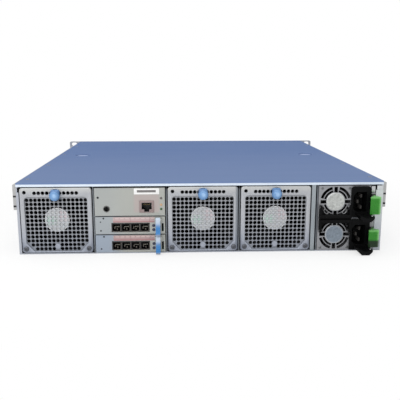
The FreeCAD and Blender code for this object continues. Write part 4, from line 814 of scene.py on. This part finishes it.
# ==== Port cards and controller ====
def card_strip(which):
    """Printed strip above the ports, split by thin lines between port fields."""
    x = CARD_X
    foot = reach(f"card_{which}_tray")[0][2]
    p = paper(f"card_{which}_strip", (0.42, 0.29, 0.29) if which == "lower" else (0.5, 0.375, 0.375))
    split = (p.x - (x + CAGE_X)).math("PINGPONG", CAGE_W / PORT_COUNT) < 0.35
    # Pale dashes near the top edge: painted highlights.
    highlight_dashes = p.z.within(foot + 18.4, foot + 19.8) * p.x.math("PINGPONG", 3.1).within(0.8, 3.1)
    edge = p.z.fall(foot + 15, foot + 16.6)
    p.over((split * 0.6, (0.25, 0.15, 0.16)), (edge * 0.75, (0.36, 0.14, 0.15)),
           (highlight_dashes * 0.45, (0.7, 0.62, 0.58)))
    copies(f"card_{which}_strip", p, "card_" + which, slab(50, 6.4, 0.25, 0.8, 0.1),
           rear=[(x + 4.5, REAR_FACE, foot + 17.6)])


def port_metal(which, paint):
    """Sprung metal of the port cages: an arched lip under each port and a bright contact carrier in it."""
    x = CARD_X + CAGE_X
    floor_z = reach(f"card_{which}_tray")[0][2] + CAGE_LIFT
    y = reach(f"card_{which}_ports")[0][1]
    pitch = CAGE_W / PORT_COUNT
    bits = ((slab(1.5, 1.7, 0.6, 0.3, 0.15), 0.7, 4, 2.6), (slab(0.9, 2.4, 0.4, 0.2, 0.1), -2.2, 2, 4.6),
            (slab(0.5, 8.2, 0.3, 0.15, 0.08), pitch / 2 - 0.6, 0.05, 5.4))
    piece = Piece()
    t = np.linspace(-1, 1, 15)
    for port in range(PORT_COUNT):
        port_x = x + (port - (PORT_COUNT - 1) / 2) * pitch
        arch = spread(port_x + 4.6 * t, y - 0.25, floor_z + 1.35 - 0.9 * (1 - t ** 4))
        piece.grid(ribbon(arch, (0, 1, 0), 0.5, 0.55))
        for shape, dx, dy, dz in bits:
            piece.grid(aim(shape, (port_x + dx, y + dy, floor_z + dz)))
    piece.make(f"card_{which}_port_metal", paint, "card_" + which)


def lens(radius, proud):
    """Shallow dome over a round shaft: its height falls as the sine of an angle, its radius as the cosine."""
    t = np.linspace(0, math.pi / 2, 6)
    return lathe([(0, -1), (radius, -1), *spread(radius * np.cos(t), proud * np.sin(t))], 20)


def card_lamps(which, paint):
    x = CARD_X + STATUS_X
    foot = reach(f"card_{which}_tray")[0][2]
    copies(f"card_{which}_lamps", paint, "card_" + which, lens(2, 0.35),
           rear=[(x, REAR_FACE, foot + z) for z in STATUS_Z])


def controller_lamps():
    """Three lenses beside the jack: grey, amber and green from the top down."""
    x = CARD_X + LAMP_X
    foot = CONTROLLER_FOOT
    lamps = (("green", 8, (0.022, 0.085, 0.02), 0.05), ("amber", 13.2, (0.52, 0.33, 0.19), 0.05),
             ("grey", 21.2, (0.13, 0.115, 0.11), 0))
    for name, z, colour, glow in lamps:
        paint = lamp_lens("lamp_" + name, colour, glow)
        copies("controller_lamp_" + name, paint, "controller", lens(1.6, 0.5),
               rear=[(x, REAR_FACE, foot + z)])


def controller_sticker():
    """Blank white label at the top of the controller, with one thin grey bar."""
    high = reach("controller_tray")[1]
    x, z = high[0] - 21.7, high[2] - 4.2
    p = paper("controller_sticker", (0.86, 0.86, 0.85))
    p.over((p.z.within(z - 1.3, z + 1.6) * p.x.within(x - 11.5, x + 11) * 0.9, (0.11, 0.1, 0.1)))
    copies("controller_sticker", p, "controller", slab(30, 7.2, 0.15, 0.6, 0.05), rear=[(x, REAR_FACE, z)])


def jack_collar(paint):
    """Turned-out metal collar round the network jack: an eased frame with the keyed cavity left open."""
    x = CARD_X + JACK_X
    z = CONTROLLER_FOOT + JACK_Z
    y = reach("controller_board")[0][1]
    outer = slab_loop(x, z, 17, 14, 1.2, 5)
    hole = np.array([(6.2, -3.4), (6.2, 5), (-6.2, 5), (-6.2, -3.4), (-3.1, -3.4), (-3.1, -6.4),
                     (3.1, -6.4), (3.1, -3.4)]) + (x, z)
    piece = Piece()
    piece.add(*flat_sheet([outer, hole], y - 0.5))
    piece.add(*flat_sheet([slab_loop(x, z, 17.6, 14.6, 1.5, 5), hole], y))
    piece.grid(loop_wall(outer, [(0, y - 0.5), (0.2, y - 0.4), (0.3, y)]))
    piece.grid(loop_wall(hole, [(0, y - 0.5), (0, y)]))
    piece.make("network_jack_collar", paint, "controller")
    contacts = Piece()
    for i in range(8):
        rise = np.array([(0, 12, 4.6), (0, 7, 4.3), (0, 3, 2.6), (0, 2.2, 2.2)])
        contacts.grid(ribbon(rise + (x + (i - 3.5) * 1.02, y, z), (1, 0, 0), 0.45, 0.3))
    gold = plated_steel("contact_gold", (0.75, 0.52, 0.18), 0.9, 0.25)
    contacts.make("network_jack_contacts", gold, "controller")


def serial_collar(paint):
    """Round service socket: a thin ring and the pins inside it."""
    x = CARD_X + SERIAL_X
    z = CONTROLLER_FOOT + SERIAL_Z
    y = REAR_FACE
    ring = lathe([(3.1, 0), (3.1, 0.45), (3.3, 0.6), (3.7, 0.6), (3.9, 0.4), (3.9, 0), (3.1, 0)], 28)
    piece = Piece().grid(aim(ring, (x, y, z)))
    for a in np.arange(6) * (math.pi / 3):
        pin = lathe([(0, -9), (0.35, -9), (0.35, -2), (0.2, -1.7), (0, -1.7)], 8)
        piece.grid(aim(pin, (x + 1.7 * math.cos(a), y, z + 1.7 * math.sin(a))))
    piece.make("service_socket_ring", paint, "controller")


# ==== Power supplies ====
def guard_middle(which):
    mid = reach(f"psu_{which}_case")[2]
    return mid[0] + GUARD_X, mid[2]


def guard_disc(which):
    """Middle of the stamped fan guard: a shallow dished disc with an eased rim."""
    x, z = guard_middle(which)
    p = Paint(f"psu_{which}_guard", Metallic=0.35, Roughness=0.4)
    cloud = p.noise(0.35, 4, 0.7)
    # The upper disc is painted pale as if lit and the lower one dark blue-grey as if in shade: lit and shaded
    # copies of one finish.
    pale = (0.62, 0.64, 0.62) if which == "upper" else (0.27, 0.325, 0.39)
    p.vary((cloud - 0.5) * 1.8 + 0.5, pale, 0.42, 1)
    # Painted highlight on the eased rim.
    p.over((p.radius(x, z).rise(9.6, 10.8) * 0.35, (0.66, 0.68, 0.7)))
    p.bump(p.noise(1.2), 0.06, 0.02)
    disc = lathe([(0, -0.3), (11.2, -0.3), (11.3, 0.2), (10.9, 0.55), (10.2, 0.65), (9.2, 0.45),
                  (0, 0.35)], 44)
    copies(f"psu_{which}_guard_disc", p, "psu_" + which, disc, rear=[(x, REAR_FACE, z)])


def guard_loops(which, paint):
    """Bright wire loops at the guard's lower diagonals: an ellipse of round wire, turned to the diagonal."""
    x, z = guard_middle(which)
    piece = Piece()
    t = np.arange(28) * (2 * math.pi / 28)
    u = 3.3 * np.cos(t)
    v = 1.9 * np.sin(t)
    for side in (-1, 1):
        turn = side * math.radians(52)
        path = spread(x + side * 11.4 + u * math.cos(turn) - v * math.sin(turn), REAR_FACE - 0.55,
                      z - 12 + u * math.sin(turn) + v * math.cos(turn))
        piece.grid(wire_ring(path, 0.55), close_u=True)
    piece.make(f"psu_{which}_guard_loops", paint, "psu_" + which)


def psu_screws(which, paint):
    """Four flush screws that hold the fan behind the guard."""
    x, z = guard_middle(which)
    head = lathe([(0, 0.05), (0.6, 0.05), (0.8, 0.35), (1.3, 0.35), (1.7, 0.1), (1.7, -0.1), (0, -0.1)], 18)
    copies(f"psu_{which}_screws", paint, "psu_" + which, head,
           rear=[(x + sx * 16.6, REAR_FACE, z + sz * 16.6) for sx in (-1, 1) for sz in (-1, 1)])


def grip_ribs(which, paint):
    """Raised finger ribs across the outer end of the green grip."""
    low, high, mid = reach(f"psu_{which}_latch")
    rib = slab(high[0] - low[0] - 4.4, 1.5, 0.55, 0.7, 0.3, -0.05)
    x = mid[0] - 0.2
    pitch = (high[2] - low[2]) / 6
    copies(f"psu_{which}_grip_ribs", paint, f"psu_{which}_latch", rib,
           rear=[(x, low[1] + 0.05, low[2] + pitch * (i + 1)) for i in range(5)])


def psu_lamp():
    """Status lamp in the upper outer corner of the lower supply, in a dark surround."""
    high = reach("psu_lower_case")[1]
    place = (high[0] - 7.6, REAR_FACE, high[2] - 3)
    surround = lathe([(1.35, -0.1), (1.35, 0.4), (1.6, 0.55), (2.1, 0.5), (2.3, 0.2), (2.3, -0.1)], 22)
    piece = Piece().grid(aim(surround, place), close_u=True)
    piece.make("psu_lamp_surround", black_moulding("lamp_surround"), "psu_lower")
    white = lamp_lens("lamp_white", (0.92, 0.9, 0.97), 0.35)
    copies("psu_lower_lamp", white, "psu_lower", lens(1.3, 0.45), rear=[place])


def psu_tab(paint):
    """Bare metal tab in the upper outer corner of the upper supply, over a dark joint."""
    high = reach("psu_upper_case")[1]
    place = (high[0] - 2.9, REAR_FACE, high[2] - 4.3)
    joint = black_moulding("tab_joint")
    copies("psu_tab_joint", joint, "psu_upper", slab(6, 8.4, 0.2, 0.5, 0.08), rear=[place])
    copies("psu_tab", paint, "psu_upper", slab(4.6, 7.2, 0.5, 0.5, 0.15), rear=[place])


# ==== Disk side, ears and walls ====
def carrier_plastic(number):
    """Charcoal carrier with rows of vent slots above and below its lever, painted near black as their shade
    over a sunk bump, and two lamps at the hinge end.
    """
    low, high, mid = reach(f"disk_{number:02d}_carrier")
    x = mid[0]
    p = plastic(f"carrier_charcoal_{number:02d}", (0.028, 0.03, 0.034))
    front = p.y > high[1] - 0.6
    across = p.x - (x + 6)
    along = abs(across.math("PINGPONG", VENT_PITCH / 2) - VENT_PITCH / 4) < VENT_LENGTH / 4 + 0.9
    down = abs(abs(p.z - mid[2]) - (high[2] - low[2] - CARRIER_BAND) / 2 + 0.3) < 0.95
    slots = along * down * (abs(across) < VENT_PITCH * 6) * front
    # Painted shade: the vent slots are near black.
    p.over((slots, (0.003, 0.003, 0.004)),
           (p.spot(x - 47, high[2] - 3, 1.1) * front, (0.1, 0.5, 0.12)),
           (p.spot(x - 47, low[2] + 3, 1.1) * front, (0.6, 0.3, 0.05)))
    return p.bump(p.noise(1.2, 2, 0.5) * 0.1 - slots, 0.5, 0.4)


def lever_pad(number, paint):
    """Thumb pad beside the finger ramp of a carrier lever, with three grip ridges."""
    node = f"disk_{number:02d}_lever"
    _, high, mid = reach(node)
    x, y, z = high[0] - 21.5, high[1], mid[2]
    piece = Piece().grid(aim(slab(7, 11, 0.12, 1.2, 0.1, -0.05), (x, y, z), "front"))
    ridge = slab(5, 1.1, 0.16, 0.5, 0.12, 0.1)
    for i in (-1, 0, 1):
        piece.grid(aim(ridge, (x, y + 0.02, z + i * 2.8), "front"))
    piece.make(node + "_pad", paint, node)


def wall_rivets(paint):
    """Round rivet heads along both side walls, below the rails."""
    low, high, _ = reach("chassis_base")
    head = lathe([(0, 0.75), (0.9, 0.7), (1.7, 0.45), (2.1, 0), (2.1, -0.1), (0, -0.1)], 16)
    rows = [(y, 9) for y in np.linspace(low[1] + 18, high[1] - 40, 9)]
    rows += [(y, 46) for y in np.linspace(low[1] + 78, high[1] - 40, 4)]
    copies("wall_rivets", paint, "chassis", head, left=[(low[0], *row) for row in rows],
           right=[(high[0], *row) for row in rows])


def wall_tab(paint):
    """Folded corner tab that closes the rear opening between the outer supply and the right wall."""
    low, high, _ = reach("chassis_base")
    supply = reach("psu_upper_case")[1]
    width = high[0] - supply[0] - 2.2
    height = supply[2] - FLANGE_TOP
    copies("wall_corner_tab", paint, "chassis", slab(width, height, 1, 0.6, 0.15, -1),
           rear=[(high[0] - 0.4 - width / 2, low[1], FLANGE_TOP + height / 2)])


def rail_screws(paint):
    """Screws and the sprung stop along each rail's outer face."""
    low, high, mid = reach("slide_rails")
    head = lathe([(0, 0.2), (0.9, 0.2), (1.2, 0.8), (2.4, 0.8), (3, 0.5), (3.2, -0.1), (0, -0.1)], 20)
    stop = slab(46, 7, 0.9, 3, 0.35, -0.05)
    piece = Piece()
    for side, x in (("left", low[0]), ("right", high[0])):
        for y in np.linspace(low[1] + 40, high[1] - 24, 5):
            piece.grid(aim(head, (x, y, mid[2]), side))
        piece.grid(aim(stop, (x, high[1] - 90, mid[2]), side))
    piece.make("rail_screws", paint, "chassis")


def cleat_rivets(paint):
    """Bright rivet at the tip of each cord cleat, beside the saddle."""
    head = lathe([(0, 0.5), (0.8, 0.45), (1.2, 0.1), (1.2, -0.1), (0, -0.1)], 16)
    for which in PAIR:
        low, _, mid = reach(f"psu_{which}_inlet")
        place = np.array([mid[0] + 8.05, low[1] + 3, low[2] + 6.8])
        Piece().grid(head + place).make(f"psu_{which}_cleat_rivet", paint, "psu_" + which)


def ear_screws(paint):
    """Countersunk screws through each ear's flange into the wall."""
    low, high, _ = reach("chassis_base")
    y = reach("rack_ears")[1][1] - 13
    head = lathe([(0, 0.1), (0.9, 0.1), (1.2, 0.6), (2.2, 0.6), (3, 0.35), (3.2, -0.1), (0, -0.1)], 20)
    heights = (18, 43.5, 69)
    copies("ear_screws", paint, "chassis", head, left=[(low[0] - 2, y, z) for z in heights],
           right=[(high[0] + 2, y, z) for z in heights])


# ==== Stage ====
def white_world():
    """White for the camera and for reflections, soft grey as the filling light."""
    world = bpy.data.worlds.new("studio")
    bpy.context.scene.world = world
    world.use_nodes = True
    tree = world.node_tree
    path = tree.nodes.new("ShaderNodeLightPath")
    level = tree.nodes.new("ShaderNodeMix")
    seen = path.outputs["Is Camera Ray"]
    for ray in ("Is Glossy Ray", "Is Transmission Ray"):
        either = tree.nodes.new("ShaderNodeMath")
        either.operation = "MAXIMUM"
        tree.links.new(seen, either.inputs[0])
        tree.links.new(path.outputs[ray], either.inputs[1])
        seen = either.outputs[0]
    tree.links.new(seen, level.inputs[0])
    level.inputs[2].default_value = FILL_LIGHT
    level.inputs[3].default_value = 1
    back = tree.nodes["Background"]
    back.inputs["Color"].default_value = (1, 1, 1, 1)
    tree.links.new(level.outputs[0], back.inputs["Strength"])


def floor():
    """Wide pale floor: lit near the object for its shadow, plain white for the camera further out."""
    mesh = bpy.data.meshes.new("floor")
    corners = [(-8, -8, 0), (8, -8, 0), (8, 8, 0), (-8, 8, 0)]
    mesh.from_pydata(corners, [], [(0, 1, 2, 3)])
    piece = place_object("floor", mesh)
    p = Paint("floor", Roughness=0.9, Specular_IOR_Level=0.1, Base_Color=(0.95, 0.95, 0.95, 1))
    camera_ray = p.node("ShaderNodeLightPath", {}, {}, "Is Camera Ray")
    away = ((p.x * p.x + p.y * p.y) ** 0.5).rise(260, 520)
    glow = p.node("ShaderNodeEmission", {}, {})
    white = camera_ray * (away * 0.35 + 0.65)
    mixed = p.node("ShaderNodeMixShader", {}, {0: white, 1: Wire(p, p.shader.outputs[0]), 2: glow})
    p.tree.links.new(mixed.socket, p.tree.nodes["Material Output"].inputs["Surface"])
    mesh.materials.append(p.material)


def soft_light(name, place, aim_at, size, power):
    data = bpy.data.lights.new(name, "AREA")
    data.shape = "RECTANGLE"
    data.size, data.size_y = size
    data.energy = power
    light = place_object(name, data)
    light.location = place
    light.rotation_euler = (Vector(aim_at) - Vector(place)).to_track_quat("-Z", "Y").to_euler()


def studio():
    white_world()
    floor()
    soft_light("over", (-0.2, -0.3, 1.9), (0, 0, 0), (2.2, 1.8), 16)
    soft_light("ahead", (-0.7, -1.9, 0.9), (0, -0.24, 0.04), (1.4, 1), 14)
    scene = bpy.context.scene
    scene.view_settings.view_transform = "Standard"
    data = bpy.data.cameras.new("camera")
    data.sensor_width = SENSOR_MM
    data.lens = LENS_MM
    camera = place_object("camera", data)
    camera.location = (CAMERA_X, REAR_FACE * MM - CAMERA_BACK, CAMERA_Z)
    camera.rotation_euler = (math.radians(90 - CAMERA_DOWN_DEG), 0, math.radians(CAMERA_TURN_DEG))
    scene.camera = camera


def dress_shell():
    paint_node("drive_cage", plated_steel("tray_steel", (0.4, 0.42, 0.47)))
    paint_node("rack_ears", plated_steel("ear_steel", (0.3, 0.32, 0.37), 0.4, 0.5))
    paint_node("chassis_base", chassis_steel())
    paint_node("top_cover", cover_coat())
    paint_node("slide_rails", rail_steel())
    paint_node("midplane_board", circuit_board("midplane_board"))
    wall_tab(plated_steel("tab_steel", (0.56, 0.58, 0.6), 0.4, 0.4))
    rivet = plated_steel("rivet_steel", (0.56, 0.57, 0.59), 0.85, 0.28)
    wall_rivets(rivet)
    ear_screws(rivet)
    rail_screws(rivet)


def dress_fans():
    black = black_moulding("fan_plastic")
    screw = plated_steel("dark_screw", (0.1, 0.105, 0.12), 0.7, 0.35)
    for which in FANS:
        paint_node(f"fan_{which}_frame", black)
        paint_node(f"fan_{which}_rotor", black)
        fan_face(which, silver_paint(which))
        fan_screws(which, screw)
        hub_label(which)
        knob(which)


def dress_cards():
    metal = plated_steel("port_metal", (0.13, 0.115, 0.1), 0.4, 0.4)
    lamp = lamp_lens("lamp_dark_blue", (0.01, 0.016, 0.055))
    x = CARD_X
    # The second value of each pair is the strength of the painted shade at the card's left end.
    for which, left_shade in zip(PAIR, (0.75, 0.35)):
        card = "card_" + which
        low, high, _ = reach(card + "_tray")
        holes = [(low[0] + 10, high[2] - 1.8, 1.1), (low[0] + 6.6, high[2] - 17, 1)]
        if which == "upper":
            holes.append((low[0] + 6.3, high[2] - 6.2, 0.8))
        paint_node(card + "_tray", panel_steel(card, left_shade, holes))
        paint_node(card + "_ports", card_parts(which))
        paint_node(card + "_lever", lever_plastic(which))
        card_strip(which)
        port_metal(which, metal)
        card_lamps(which, lamp)
    foot = CONTROLLER_FOOT
    blush = (x + 5, x + 35, foot + 4, foot + 26, (0.43, 0.355, 0.345))
    # 0.12 is the strength of the controller's painted shade at its left end.
    paint_node("controller_tray", panel_steel("controller", 0.12, [(x - 37.8, foot + 22.3, 1.4)], blush))
    paint_node("controller_board", controller_parts())
    controller_sticker()
    controller_lamps()
    jack_collar(plated_steel("jack_shell", (0.27, 0.205, 0.2), 0.3, 0.45))
    serial_collar(plated_steel("service_socket", (0.13, 0.13, 0.125), 0.3, 0.45))


def dress_supplies():
    wire = plated_steel("guard_wire", (0.5, 0.51, 0.52), 0.85, 0.3)
    dull = plated_steel("guard_loop", (0.26, 0.265, 0.27), 0.6, 0.4)
    screw = plated_steel("guard_screw", (0.16, 0.165, 0.17), 0.7, 0.35)
    black = black_moulding("bail_plastic")
    for which in PAIR:
        supply = "psu_" + which
        paint_node(supply + "_case", guard_steel(which))
        paint_node(supply + "_inlet", inlet_plastic(which))
        paint_node(supply + "_rotor", black)
        paint_node(supply + "_handle", black)
        grip = grip_plastic(which)
        paint_node(supply + "_latch", grip)
        guard_disc(which)
        if which == "upper":
            guard_loops(which, dull)
        psu_screws(which, screw)
        grip_ribs(which, grip)
    psu_lamp()
    psu_tab(wire)
    cleat_rivets(wire)


def dress_disks():
    lever = plastic("lever_charcoal", (0.045, 0.047, 0.052), 0.36)
    pad = plastic("pad_blue", (0.12, 0.26, 0.5), 0.36, 0.12, Coat_Weight=0.3)
    for number in DISKS:
        paint_node(f"disk_{number:02d}_carrier", carrier_plastic(number))
        paint_node(f"disk_{number:02d}_lever", lever)
        lever_pad(number, pad)


REAR_FACE = reach("fan_left_housing")[0][1]
FAN_MIDDLE_Z = reach("fan_left_rotor")[2][2]
CARD_X = reach("card_lower_tray")[2][0]
CONTROLLER_FOOT = reach("controller_tray")[0][2]


def main():
    dress_shell()
    dress_fans()
    dress_cards()
    dress_supplies()
    dress_disks()
    studio()


main()
